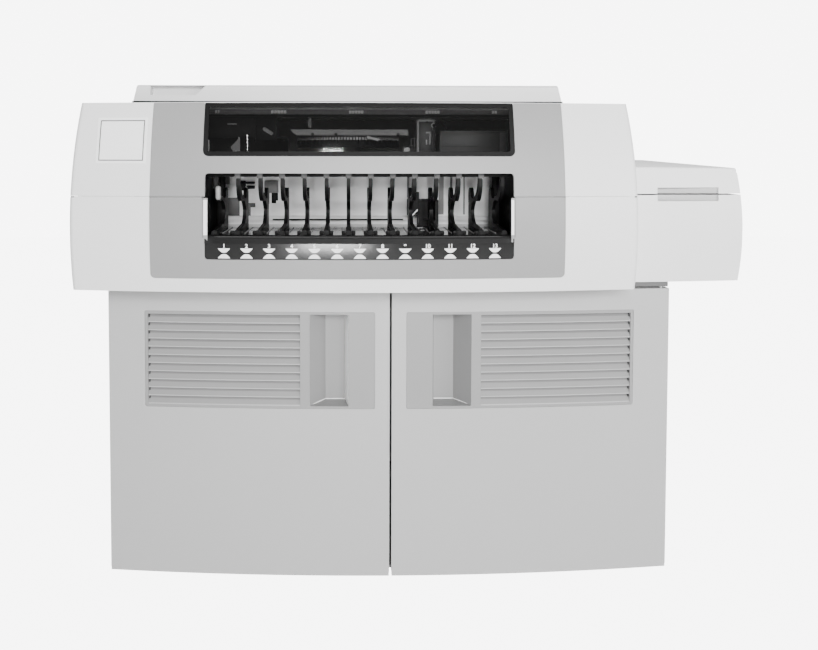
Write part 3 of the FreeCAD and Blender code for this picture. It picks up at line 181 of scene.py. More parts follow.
def glossTray():  # polished black floor that mirrors the light rear wall
    paint = Paint("trayGloss")
    cloud = paint.noise(10.0, 2.0)
    scuff = paint.noise(220.0, 3.0, 0.6)
    return paint.finish({
        "Base Color": paint.shades(cloud, 0.006, 0.010),
        "Roughness": 0.09 + scuff * 0.06,
        "Specular IOR Level": 0.5,
        "Normal": paint.grain(scuff, 0.00003),
    })


def milkyPlastic():
    paint = Paint("milkyPlastic")
    cloud = paint.noise(14.0, 3.0)
    return paint.finish({
        "Base Color": paint.shades(cloud, 0.62, 0.74),
        "Roughness": 0.32 + cloud * 0.1,
        "Subsurface Weight": 0.15,
        "Subsurface Radius": (0.01, 0.01, 0.01),
        "Normal": paint.grain(paint.noise(400.0, 1.0), 0.00005),
    })


def printedInk(name, level):
    paint = Paint(name)
    speck = paint.noise(900.0, 2.0)
    return paint.finish(
        {"Base Color": paint.shades(speck, level - 0.02, level + 0.02), "Roughness": 0.35 + speck * 0.1}
    )


finishes = {
    "white_casing": mouldedPlastic("casingWhite", 0.80, 0.012, 0.42, 900.0, 0.00006, 0.15),
    "grey_fascia": mouldedPlastic("fasciaGrey", 0.25, 0.005, 0.42, 900.0, 0.00006),
    "smoked_window": smokedPane(),
    "black_plastic": mouldedPlastic("blackPlastic", 0.004, 0.001, 0.50, 700.0, 0.00005, 0.0, 0.12),
    "strip_black": glossStrip(),
    "door_paint": powderCoat("doorPowderCoat", 0.39, 0.005, 0.42, 500.0, 0.00008),
    "insert_grey": mouldedPlastic("insertGrey", 0.24, 0.005, 0.45, 800.0, 0.00007),
    "frame_paint": powderCoat("framePowderCoat", 0.10, 0.006, 0.45, 450.0, 0.00008),
    "light_panel": powderCoat("lightPanelPaint", 0.78, 0.01, 0.35, 400.0, 0.00006),
    "pin_steel": turnedMetal("pinSteel", 0.58, 0.30, 240.0, (1.0, 1.0, 6.0)),
    "foot_steel": turnedMetal("footZinc", 0.50, 0.42, 120.0, (1.0, 1.0, 4.0)),
    "clip_plastic": mouldedPlastic("clipPlastic", 0.20, 0.02, 0.45, 900.0, 0.00004),
    "rail_aluminium": turnedMetal("railAnodised", 0.55, 0.35, 160.0, (0.2, 6.0, 6.0)),
    "bottle_plastic": milkyPlastic(),
    "probe_steel": turnedMetal("probePolished", 0.72, 0.12, 300.0, (1.0, 1.0, 4.0)),
    "hose_rubber": mouldedPlastic("hoseRubber", 0.02, 0.005, 0.50, 600.0, 0.00005),
}
trims = {
    "ink": printedInk("stripInk", 0.86),
    "plate": mouldedPlastic("placardWhite", 0.95, 0.006, 0.35, 1000.0, 0.00003, 0.2),
    "plateLine": printedInk("placardLine", 0.07),
    "sticker": printedInk("stickerPale", 0.62),
    "darkSheet": powderCoat("darkSheet", 0.055, 0.01, 0.45, 450.0, 0.00006),
    "midSheet": powderCoat("midSheet", 0.20, 0.01, 0.45, 450.0, 0.00006),
    "whiteSheet": powderCoat("whiteSheet", 0.86, 0.01, 0.4, 450.0, 0.00005),
    "rim": mouldedPlastic("lidRim", 0.20, 0.01, 0.4, 800.0, 0.00005),
    "wall": powderCoat("bayWallPaint", 0.84, 0.02, 0.4, 400.0, 0.00006),
    "railGrey": powderCoat("railGrey", 0.70, 0.02, 0.4, 400.0, 0.00006),
    "pocket": mouldedPlastic("pocketShade", 0.42, 0.01, 0.45, 900.0, 0.00005),
    "washerGrey": mouldedPlastic("washerGrey", 0.10, 0.008, 0.45, 800.0, 0.00006),
    "deepSheet": mouldedPlastic("deepSheet", 0.006, 0.001, 0.6, 450.0, 0.00006, 0.0, 0.15),
    "innerPaint": powderCoat("innerPaint", 0.085, 0.005, 0.5, 450.0, 0.00006),
    "brightSteel": turnedMetal("brightSteel", 0.85, 0.16, 300.0, (1.0, 1.0, 4.0)),
    "screw": turnedMetal("screwZinc", 0.62, 0.32, 900.0, (1.0, 1.0, 1.0)),
    "sealShade": mouldedPlastic("sealShadeBlack", 0.004, 0.001, 0.6, 500.0, 0.00006, 0.0, 0.1),
    "tray": glossTray(),
    "coverWhite": mouldedPlastic("topCoverWhite", 0.60, 0.006, 0.35, 900.0, 0.00006, 0.15),
    # lighter grey: painted highlight along the front lip of each louvre slat
    "lipHighlight": mouldedPlastic("louvreLipHighlight", 0.36, 0.01, 0.45, 900.0, 0.00005),
    "shade": mouldedPlastic("louvreShade", 0.18, 0.01, 0.5, 900.0, 0.00005, 0.0, 0.3),
    "groove": mouldedPlastic("grooveShade", 0.05, 0.005, 0.5, 900.0, 0.00005, 0.0, 0.3),
}
nodeTrims = {
    "top_cover": "coverWhite",
    "inner_frame": "innerPaint",
    "instrument_deck": "innerPaint",
    "bay_tray": "tray",
    "process_lid": "rim",
    "wash_station": "washerGrey",
    "bay_rear_wall": "wall",
    "transport_rail": "railGrey",
    "guide_clips": "darkSheet",
}
looks = {**finishes, **trims}

for part in frame["record"]["subparts"]:
    covers = nodes[part["node"]].data.materials
    covers.clear()
    covers.append(looks[nodeTrims.get(part["node"], part["material_slot"])])
print("finishes set on the CAD nodes")

cameraSet = {
    "place": (-0.1574, -1.9830, 1.04),
    "tiltDown": 2.168,
    "turnRight": 0.762,
    "roll": 0.056,
    "lens": 34.0,
    "shift": (0.0618, -0.170),
}


def addObject(name, data):
    made = bpy.data.objects.new(name, data)
    bpy.context.scene.collection.objects.link(made)
    return made


def makeCamera():
    data = bpy.data.cameras.new("photoCamera")
    data.lens = cameraSet["lens"]
    data.sensor_width = 36.0
    data.shift_x, data.shift_y = cameraSet["shift"]
    camera = addObject("photoCamera", data)
    turn = Matrix.Rotation(math.radians(-cameraSet["turnRight"]), 4, "Z")
    tilt = Matrix.Rotation(math.radians(90.0 - cameraSet["tiltDown"]), 4, "X")
    roll = Matrix.Rotation(math.radians(cameraSet["roll"]), 4, "Z")
    camera.matrix_world = Matrix.Translation(cameraSet["place"]) @ turn @ tilt @ roll
    bpy.context.scene.camera = camera


makeCamera()

studio = {
    "backdrop": 7.5,  # brightness the camera sees
    "ambient": 0.55,  # brightness that lights the machine
    "floor": 7.5,
    "lamps": [  # name, place, aim, size, watts
        ("frontPanel", (0.5, -4.9, 2.1), (-0.05, 0.0, 0.75), (2.6, 1.2), 320.0),
        ("sidePanel", (3.2, -3.2, 1.6), (0.1, 0.0, 0.8), (1.6, 1.6), 110.0),
        ("topPanel", (0.0, 0.4, 3.4), (0.0, 0.0, 1.0), (2.6, 2.0), 75.0),
        ("lowCard", (-0.38, -4.5, 0.12), (-0.2, -0.4, 0.84), (0.75, 0.26), 58.0),
        ("ceilingSpot", (-0.38, -4.4, 2.96), (-0.2, -0.35, 1.05), (0.22, 0.22), 24.0),
        ("lipSpot", (-0.35, -4.3, 2.17), (-0.18, -0.38, 0.87), (0.6, 0.12), 14.0),
    ],
}


def makeLights():
    world = bpy.data.worlds.new("studioWorld")
    world.use_nodes = True
    tree = world.node_tree
    glow = tree.nodes["Background"]
    glow.inputs["Color"].default_value = (1.0, 1.0, 1.0, 1.0)
    seen = tree.nodes.new("ShaderNodeLightPath")
    strength = tree.nodes.new("ShaderNodeMapRange")
    strength.inputs["To Min"].default_value = studio["ambient"]
    strength.inputs["To Max"].default_value = studio["backdrop"]
    tree.links.new(seen.outputs["Is Camera Ray"], strength.inputs["Value"])
    tree.links.new(strength.outputs[0], glow.inputs["Strength"])
    bpy.context.scene.world = world
    for name, place, aim, size, watts in studio["lamps"]:
        data = bpy.data.lights.new(name, "AREA")
        data.shape = "RECTANGLE"
        data.size, data.size_y = size
        data.energy = watts
        lamp = addObject(name, data)
        lamp.location = place
        lamp.rotation_euler = (Vector(aim) - Vector(place)).to_track_quat("-Z", "Y").to_euler()


makeLights()


def makeFloor():
    shape = bmesh.new()
    bmesh.ops.create_grid(shape, x_segments=2, y_segments=2, size=8.0)
    mesh = bpy.data.meshes.new("studioFloor")
    shape.to_mesh(mesh)
    shape.free()
    floor = addObject("studioFloor", mesh)
    paint = Paint("floorPaint")
    cloud = paint.noise(1.5, 2.0)
    lit = paint.node(
        "ShaderNodeBsdfPrincipled",
        {},
        {"Base Color": paint.shades(cloud, 0.42, 0.45), "Roughness": 0.6 + cloud * 0.1},
    )
    white = paint.node("ShaderNodeEmission", {}, {"Color": (1.0, 1.0, 1.0, 1.0), "Strength": studio["floor"]})
    seen = paint.node("ShaderNodeLightPath", {}, {}, "Is Camera Ray")
    both = paint.node("ShaderNodeMixShader", {}, {0: seen * 0.97, 1: lit, 2: white})
    paint.tree.links.new(both.socket, paint.end.inputs["Surface"])
    mesh.materials.append(paint.material)


makeFloor()
print("camera, lights and floor made")


def at(x, y, z):
    return Vector((x * mm, y * mm, z * mm))


def bevelEdges(shape, edges, size, segments):
    bmesh.ops.bevel(
        shape,
        geom=edges,
        offset=size * mm,
        offset_type="OFFSET",
        segments=segments,
        profile=0.5,
        affect="EDGES",
        material=-1,
    )


def addBlock(shape, low, high, bevel=0.0, segments=2):
    low, high = at(*low), at(*high)
    made = bmesh.ops.create_cube(shape, size=1.0)["verts"]
    bmesh.ops.scale(shape, vec=high - low, verts=made)
    bmesh.ops.translate(shape, vec=(low + high) / 2, verts=made)
    if bevel:
        bevelEdges(shape, list({edge for vert in made for edge in vert.link_edges}), bevel, segments)


def turnAdded(shape, first, centre, angle, axis):  # turns what was added from that vertex on
    shape.verts.ensure_lookup_table()
    bmesh.ops.rotate(shape, cent=at(*centre), matrix=Matrix.Rotation(angle, 3, axis), verts=shape.verts[first:])


def addRod(shape, start, end, radius, endRadius=None, sides=24):
    start, end = at(*start), at(*end)
    axis = end - start
    turn = axis.to_track_quat("Z", "Y").to_matrix().to_4x4()
    bmesh.ops.create_cone(
        shape,
        cap_ends=True,
        cap_tris=False,
        segments=sides,
        radius1=radius * mm,
        radius2=(radius if endRadius is None else endRadius) * mm,
        depth=axis.length,
        matrix=Matrix.Translation((start + end) / 2) @ turn,
    )


def addProfile(shape, outline, y0, y1):  # flat outline in x and z, as thick as y0 to y1
    corners = [shape.verts.new(at(x, y0, z)) for x, z in outline]
    face = shape.faces.new(corners)
    moved = bmesh.ops.extrude_face_region(shape, geom=[face])["geom"]
    verts = [part for part in moved if isinstance(part, bmesh.types.BMVert)]
    bmesh.ops.translate(shape, vec=(0.0, (y1 - y0) * mm, 0.0), verts=verts)


def addRing(shape, centre, axis, radius, thickness, sides=40, rounds=10):  # torus by spinning a circle
    turn = Vector(axis).to_track_quat("Z", "Y").to_matrix().to_4x4()
    place = Matrix.Translation(at(*centre)) @ turn
    circle = bmesh.ops.create_circle(
        shape,
        cap_ends=False,
        segments=rounds,
        radius=thickness * mm,
        matrix=place @ Matrix.Translation((radius * mm, 0.0, 0.0)) @ Matrix.Rotation(math.radians(90.0), 4, "X"),
    )["verts"]
    edges = list({edge for vert in circle for edge in vert.link_edges})
    bmesh.ops.spin(
        shape,
        geom=circle + edges,
        cent=at(*centre),
        axis=Vector(axis),
        angle=math.tau,
        steps=sides,
        use_merge=True,
    )
    bmesh.ops.remove_doubles(shape, verts=shape.verts, dist=0.00001)


def makePiece(name, shape, slot, look=None, body="machine"):
    bmesh.ops.recalc_face_normals(shape, faces=shape.faces)
    mesh = bpy.data.meshes.new(name)
    shape.to_mesh(mesh)
    shape.free()
    mesh.materials.append(looks[look or slot])
    mesh.shade_smooth()
    mesh.set_sharp_from_angle(angle=math.radians(35.0))
    piece = addObject(name, mesh)
    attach(piece, body)


def makeBlocks(name, blocks, slot, look=None):  # each block: low corner, high corner, bevel
    shape = bmesh.new()
    for block in blocks:
        addBlock(shape, *block)
    makePiece(name, shape, slot, look)


def surfaceOf(*names):
    corners, faces = [], []
    for name in names:
        mesh = nodes[name].data
        faces += [[index + len(corners) for index in face.vertices] for face in mesh.polygons]
        corners += [vert.co for vert in mesh.vertices]
    return BVHTree.FromPolygons(corners, faces)


def frontOf(surface, x, z):  # how far forward a surface stands, in metres
    return surface.ray_cast(Vector((x, -2.0, z)), Vector((0.0, 1.0, 0.0)))[0].y


def layOn(shape, surface, lift, sink):  # flat pieces bent on to a surface seen from the front
    for vert in shape.verts:
        y = frontOf(surface, vert.co.x, vert.co.z)
        vert.co.y = y - lift * mm if vert.co.y < 0.0 else y + sink * mm


def addTube(shape, sections):  # solid through a row of four-cornered sections
    rows = [[shape.verts.new(corner) for corner in section] for section in sections]
    for near, far in zip(rows, rows[1:]):
        for index in range(4):
            shape.faces.new((near[index], near[index - 1], far[index - 1], far[index]))
    shape.faces.new(rows[0])
    shape.faces.new(rows[-1])


def addBand(shape, left, right, low, high, steps):  # flat band along x, to be laid on a surface
    sections = []
    for index in range(steps + 1):
        x = left + index * (right - left) / steps
        sections.append([at(x, y, z) for y, z in ((-1.0, low), (-1.0, high), (1.0, high), (1.0, low))])
    addTube(shape, sections)


def addStrip(shape, surface, run, level, setBack, depth, heights, inset=0.0):  # follows a curved front
    left, right, steps = run
    low, high = heights
    sections = []
    for index in range(steps + 1):
        x = left + index * (right - left) / steps
        y = frontOf(surface, min(max(x, left + inset), right - inset) * mm, level * mm) / mm + setBack
        sections.append([at(x, y + back, z) for back, z in ((0.0, low), (0.0, high), (depth, high), (depth, low))])
    addTube(shape, sections)


# White numbers and rack marks on the strip under the sample lanes
laneMarks = {
    "count": 13,
    "middle": -133.0,
    "pitch": 47.2,
    "numberFoot": 850.2,
    "numberSize": 11.4,
    "bowlTop": 848.9,
    "domeFoot": 827.9,
    "outline": [(12.6, 0.0), (12.2, 1.4), (10.4, 3.4), (7.8, 6.0), (5.6, 7.8), (3.6, 8.6), (1.8, 8.8)],
    "lift": 0.25,
}


def makeLaneMarks():
    marks = laneMarks
    strip = surfaceOf("number_strip")
    numbers = bmesh.new()
    rackMarks = bmesh.new()
    for lane in range(marks["count"]):
        x = marks["middle"] + (lane - marks["count"] // 2) * marks["pitch"]
        words = bpy.data.curves.new("laneNumber", "FONT")
        words.body = str(lane + 1)
        words.size = marks["numberSize"] * mm
        words.align_x = "CENTER"
        words.extrude = 0.001
        words.offset = 0.0003  # bolder
        holder = addObject("laneNumber", words)
        bpy.context.view_layer.update()
        flat = bpy.data.meshes.new_from_object(holder)
        flat.transform(Matrix.Translation(at(x, 0.0, marks["numberFoot"])) @ Matrix.Rotation(math.pi / 2, 4, "X"))
        numbers.from_mesh(flat)
        bpy.data.objects.remove(holder)
        bpy.data.meshes.remove(flat)
        side = marks["outline"]
        bowl = [(x + dx, marks["bowlTop"] - dz) for dx, dz in side]
        bowl += [(x - dx, marks["bowlTop"] - dz) for dx, dz in reversed(side)]
        dome = [(x + dx, marks["domeFoot"] + dz) for dx, dz in side]
        dome += [(x - dx, marks["domeFoot"] + dz) for dx, dz in reversed(side)]
        addProfile(rackMarks, bowl, -1.0, 1.0)
        addProfile(rackMarks, dome, -1.0, 1.0)
    for name, shape in (("laneNumbers", numbers), ("rackMarks", rackMarks)):
        layOn(shape, strip, marks["lift"], 0.05)
        makePiece(name, shape, "strip_black", "ink")


makeLaneMarks()

# Bare placard on the left of the front cover
placard = {
    "left": -692.5,
    "right": -584.0,
    "low": 1025.5,
    "high": 1123.0,
    "lineInset": 5.5,
    "lineWidth": 2.2,
    "thickness": 0.8,
    "lineThickness": 0.95,
    "steps": 12,
}


def makePlacard():
    sizes = placard
    shell = surfaceOf("cover_shell")
    outer = (sizes["left"], sizes["right"], sizes["low"], sizes["high"])

    def sheet(inset, width, thick, name, look):
        x0, x1 = outer[0] + inset, outer[1] - inset
        z0, z1 = outer[2] + inset, outer[3] - inset
        shape = bmesh.new()
        if width:
            bars = [(x0, x1, z0, z0 + width), (x0, x1, z1 - width, z1)]
            bars += [(x0, x0 + width, z0 + width, z1 - width), (x1 - width, x1, z0 + width, z1 - width)]
        else:
            bars = [(x0, x1, z0, z1)]
        for left, right, low, high in bars:
            addBlock(shape, (left, -1.0, low), (right, 1.0, high))
        for normal, low, high in ((Vector((1.0, 0.0, 0.0)), x0, x1), (Vector((0.0, 0.0, 1.0)), z0, z1)):
            for step in range(1, sizes["steps"]):
                place = normal * (low + (high - low) * step / sizes["steps"]) * mm
                whole = shape.verts[:] + shape.edges[:] + shape.faces[:]
                bmesh.ops.bisect_plane(shape, geom=whole, plane_co=place, plane_no=normal)
        layOn(shape, shell, thick, 0.3)
        makePiece(name, shape, "white_casing", look, "front_cover")

    sheet(0.0, 0.0, sizes["thickness"], "placardPlate", "plate")
    sheet(sizes["lineInset"], sizes["lineWidth"], sizes["lineThickness"], "placardFrameLine", "plateLine")


makePlacard()
print("marks and placard made")

# Gasket round the window pane, a black seal strip before the top cover that paints the shade on the rear casing's front
# wall, and black edge over the number strip
gasket = {
    "left": -457.6,
    "right": 190.6,
    "low": 1045.4,
    "high": 1151.2,
    "corner": 7.0,
    "inside": 5.4,
    "outside": 4.6,
    "over": 3.4,
    "lift": 0.5,
    "step": 12.0,
    "bandEnds": [(-573.4, -463.2), (196.2, 301.4)],
    "bandRows": [(1151.4, 1153.2), (1153.2, 1155.2)],
    "sealShade": ((-656.0, -189.2, 1157.0), (341.0, -186.8, 1168.0), 0.5),
    "stripEdge": (-457.2, 191.2, 858.8, 868.6, 60),
}


def roundCorner(path, x, first):  # lower corner of the gasket: places and outward directions
    radius = gasket["corner"]
    for index in range(7):
        angle = math.radians(first + 15.0 * index)
        dx, dz = math.cos(angle), math.sin(angle)
        path.append((x + radius * dx, gasket["low"] + radius + radius * dz, dx, dz))


def makeGasket():
    sizes = gasket
    surface = surfaceOf("cover_window", "cover_fascia", "cover_shell")
    radius = sizes["corner"]
    rise = (sizes["high"] - sizes["low"] - radius) / 10
    path = [(sizes["left"], sizes["high"] - rise * index, -1.0, 0.0) for index in range(10)]
    roundCorner(path, sizes["left"] + radius, 180.0)
    count = round((sizes["right"] - sizes["left"] - 2 * radius) / sizes["step"])
    run = (sizes["right"] - sizes["left"] - 2 * radius) / count
    path += [(sizes["left"] + radius + run * index, sizes["low"], 0.0, -1.0) for index in range(1, count)]
    roundCorner(path, sizes["right"] - radius, 270.0)
    path += [(sizes["right"], sizes["high"] - rise * index, 1.0, 0.0) for index in range(9, -1, -1)]
    sections = []
    for x, z, dx, dz in path:
        inner = (x - dx * sizes["inside"], z - dz * sizes["inside"])
        outer = (x + dx * sizes["outside"], z + dz * sizes["outside"])
        corners = (inner, outer, outer, inner)
        sections.append([at(px, depth, pz) for (px, pz), depth in zip(corners, (-1.0, -1.0, 1.0, 1.0))])
    shape = bmesh.new()
    addTube(shape, sections)
    left, right = sizes["left"] - sizes["outside"], sizes["right"] + sizes["outside"]
    addBand(shape, left, right, sizes["high"] - sizes["inside"], sizes["high"] + sizes["over"], count + 2)
    layOn(shape, surface, sizes["lift"], 0.4)
    makePiece("windowGasket", shape, "black_plastic", body="front_cover")
    shape = bmesh.new()
    for ends in sizes["bandEnds"]:  # fascia colour carried up to the rim
        for row in sizes["bandRows"]:
            addBand(shape, *ends, *row, 6)
    layOn(shape, surface, 0.35, 0.3)
    makePiece("fasciaTopBands", shape, "grey_fascia", body="front_cover")
    # black sheet over the rear casing's front wall behind the window: painted shade, shaped as a seal strip
    makeBlocks("coverSealShade", [sizes["sealShade"]], "black_plastic", "sealShade")
    shape = bmesh.new()  # black edge between the tray and the number strip
    addBand(shape, *sizes["stripEdge"])
    layOn(shape, surfaceOf("lower_fascia", "number_strip", "bay_tray"), 0.7, 0.3)
    makePiece("stripEdge", shape, "strip_black", "black_plastic")


makeGasket()

# Painted highlights and painted shade strips on the edges at the ends of the sample bay, and the strip in the seam of
# the casing
bayEdges = {
    # white bands on the edges of the bay opening: painted highlight
    "lips": [(-459.2, -451.4), (185.0, 190.6)],
    # darker bands beside them: painted shade
    "shades": [(-462.0, -459.2), (190.6, 194.2)],
    "highlightHeights": (876.4, 949.5),
    "shadeHeights": (871.0, 953.2),
    "seamHeights": (953.4, 955.9),
    "seamLevel": 952.8,
    "seams": [(-738.0, -574.5, 12), (-572.6, -463.0, 8), (193.4, 300.8, 8), (302.6, 456.0, 12)],
    "ends": [(-747.0, -738.5, 6), (456.5, 464.0, 6)],
    "setBack": 2.1,
    "rows": 10,
}


def makeBayEdges():
    sizes = bayEdges
    surface = surfaceOf("lower_fascia", "bay_tray", "number_strip")
    for key, heights, trim in (("lips", "highlightHeights", "plate"), ("shades", "shadeHeights", "shade")):
        shape = bmesh.new()
        foot, head = sizes[heights]
        rise = (head - foot) / sizes["rows"]
        for left, right in sizes[key]:
            for index in range(sizes["rows"]):
                addBand(shape, left, right, foot + rise * index, foot + rise * (index + 1), 1)
        layOn(shape, surface, 0.6, 0.3)
        makePiece("bayEdge" + key.capitalize(), shape, "light_panel", trim)
    casing = surfaceOf("lower_casing", "lower_fascia")
    for name, slot, runs in (
        ("seamStripWhite", "white_casing", (sizes["seams"][0], sizes["seams"][3])),
        ("seamStripGrey", "grey_fascia", (sizes["seams"][1], sizes["seams"][2])),
        ("seamStripEnds", "black_plastic", sizes["ends"]),
    ):
        shape = bmesh.new()
        for run in runs:
            addStrip(shape, casing, run, sizes["seamLevel"], sizes["setBack"], 1.0, sizes["seamHeights"])
        makePiece(name, shape, slot)


makeBayEdges()

# Painted highlights along the louvre lips, painted shade under them and at the slat ends, dark groove lines, and
# painted highlights along the pocket edges of the moulded inserts in the doors
insertLines = {
    "low": 480.5,
    "pitch": 18.545,
    "count": 11,
    # heights of the painted highlight on each slat's lip
    "lipHighlight": (0.2, 2.2),
    # heights of the painted shade in the deep top of each slat, under the next lip
    "shade": (12.0, 17.6),
    # dark marks at the outer end of each slat: painted shade
    "end": (10.4, 17.8),
    "inset": 0.8,
    "endShadeWidth": 3.4,
    "grooveWidth": 1.5,
    "grooveHeights": (474.0, 693.0),
    "highlightWidth": 0.7,
    "pocketLow": 481.2,
    "pocketHigh": 685.6,
    "pocketFront": -262.0,
    "pocketBack": -215.4,
}


def makeInsertLines():
    sizes = insertLines
    for door, left, right, outer, groove, pocket in (
        ("left_door", -610.0, -265.0, -609.8, -255.6, (-242.3, -209.0, -164.4, -157.3)),
        ("right_door", 141.0, 486.0, 482.4, 130.6, (118.3, 85.0, 40.4, 33.3)),
    ):
        surface = surfaceOf(door + "_insert")
        title = door.replace("_d", "D")
        lips, shades, ends = bmesh.new(), bmesh.new(), bmesh.new()
        for index in range(sizes["count"]):
            foot = sizes["low"] + index * sizes["pitch"]
            x0, x1 = left + sizes["inset"], right - sizes["inset"]
            for band, key, near, far, steps in (
                (lips, "lipHighlight", x0, x1, 16),
                (shades, "shade", x0, x1, 16),
                (ends, "end", outer, outer + sizes["endShadeWidth"], 1),
            ):
                addBand(band, near, far, foot + sizes[key][0], foot + sizes[key][1], steps)
        addBand(ends, groove, groove + sizes["grooveWidth"], *sizes["grooveHeights"], 1)
        for shape, lift, name, trim in (
            (lips, 0.3, "Lips", "lipHighlight"),
            (shades, 0.3, "Shades", "shade"),
            (ends, 0.45, "GroovesAndEndShades", "groove"),
        ):
            layOn(shape, surface, lift, 0.2)
            makePiece(title + name, shape, "insert_grey", trim, door)
        # bright rods along the floor edges of the pocket: painted highlight
        slant, slantBack, steepBack, steep = pocket
        front, back, low = sizes["pocketFront"], sizes["pocketBack"], sizes["pocketLow"]
        shape = bmesh.new()
        corners = [(slant, front, low), (slantBack, back, low), (steepBack, back, low)]
        for start, end in zip(corners, corners[1:]):
            addRod(shape, start, end, 1.1, sides=8)
        if door == "left_door":  # painted highlight up the steep side
            wide = sizes["highlightWidth"]
            wall = ((steep, front), (steep - wide, front), (steepBack - wide, back), (steepBack, back))
            addTube(shape, [[at(x, y, z) for x, y in wall] for z in (low, sizes["pocketHigh"])])
        makePiece(title + "PocketEdgeHighlight", shape, "insert_grey", "plate", door)


makeInsertLines()

# Crown of the hopper lid, grey sheets in its finger pocket that paint the recess's shade, and the lower edges of the
# doors
outerParts = {
    "crownLeft": 469.0,
    "crownRight": 737.5,
    "crownFoot": 1003.0,
    "crownFront": [1017.6, 1014.8],
    "crownBack": [1033.0, 1031.0],
    "crownRear": 350.0,
    "crownSplit": 1010.0,
    "crownBevel": 5.0,
    "pocketLeft": 545.2,
    "pocketRight": 689.8,
    "sweepHeights": (92.5, 100.3),
    "sweepDepth": 9.0,
    "sweepLevel": 106.0,
}


def makeOuterParts():
    sizes = outerParts
    lid = surfaceOf("hopper_lid")
    x0, x1 = sizes["crownLeft"], sizes["crownRight"]
    fronts = [frontOf(lid, x * mm, 1.002) / mm + 3.0 for x in (x0 + 2.0, x1 - 6.0)]
    shape = bmesh.new()
    sections = []
    foot, rear = sizes["crownFoot"], sizes["crownRear"]
    for x, front, ahead, behind in zip((x0, x1), fronts, sizes["crownFront"], sizes["crownBack"]):
        sections.append([at(x, front, foot), at(x, front, ahead), at(x, rear, behind), at(x, rear, foot)])
    addTube(shape, sections)
    upper = [edge for edge in shape.edges if max(vert.co.z for vert in edge.verts) > sizes["crownSplit"] * mm]
    bevelEdges(shape, upper, sizes["crownBevel"], 4)
    makePiece("lidCrown", shape, "white_casing", body="hopper_lid")
    x0, x1 = sizes["pocketLeft"], sizes["pocketRight"]
    middle = (x0 + x1) / 2 * mm
    # grey sheets darken the finger pocket: painted shade of the recess
    for name, body, node, low, high in (
        ("lidPocketShade", "hopper_lid", "hopper_lid", 956.7, 970.2),
        ("binPocketShade", "machine", "hopper_bin", 939.8, 953.3),
    ):
        back = frontOf(surfaceOf(node), middle, (low + high) / 2 * mm) / mm
        shape = bmesh.new()
        addBlock(shape, (x0, back - 1.4, low), (x1, back + 0.2, high), 0.3)
        makePiece(name, shape, "grey_fascia", "pocket", body)
    for name, node, left, right in (
        ("leftDoorSweep", "left_door", -700.4, -65.1),
        ("rightDoorSweep", "right_door", -58.9, 576.4),
    ):
        shape = bmesh.new()
        run, level, depth = (left, right, 24), sizes["sweepLevel"], sizes["sweepDepth"]
        addStrip(shape, surfaceOf(node), run, level, 0.2, depth, sizes["sweepHeights"], 0.6)
        makePiece(name, shape, "door_paint", body=node)


makeOuterParts()
print("gasket and outer parts made")

# Back and sides of the cabinet: fan guard, inlets, vents and screws
backParts = {
    "face": 380.0,
    "fan": (-441.0, 593.0),
    "guardRings": [14.0, 26.0, 38.0, 50.0],
    "screwColumns": [-686.0, -480.0, -270.0, -62.0, 146.0, 356.0, 562.0],
    "screwRows": [110.0, 320.0, 520.0, 730.0],
    "ventRows": 12,
    "inlet": (-60.0, 150.0),
    "ports": (230.0, 250.0),
    "portPitch": 34.0,
    "sides": [-701.0, 577.0],
}


def addScrew(shape, place, outward, radius=4.2):
    start = Vector(place)
    outward = Vector(outward)
    addRod(shape, start - outward * 0.6, start + outward * 1.7, radius, radius * 0.86, 20)
    addRod(shape, start + outward * 1.5, start + outward * 2.0, radius * 0.45, radius * 0.4, 6)


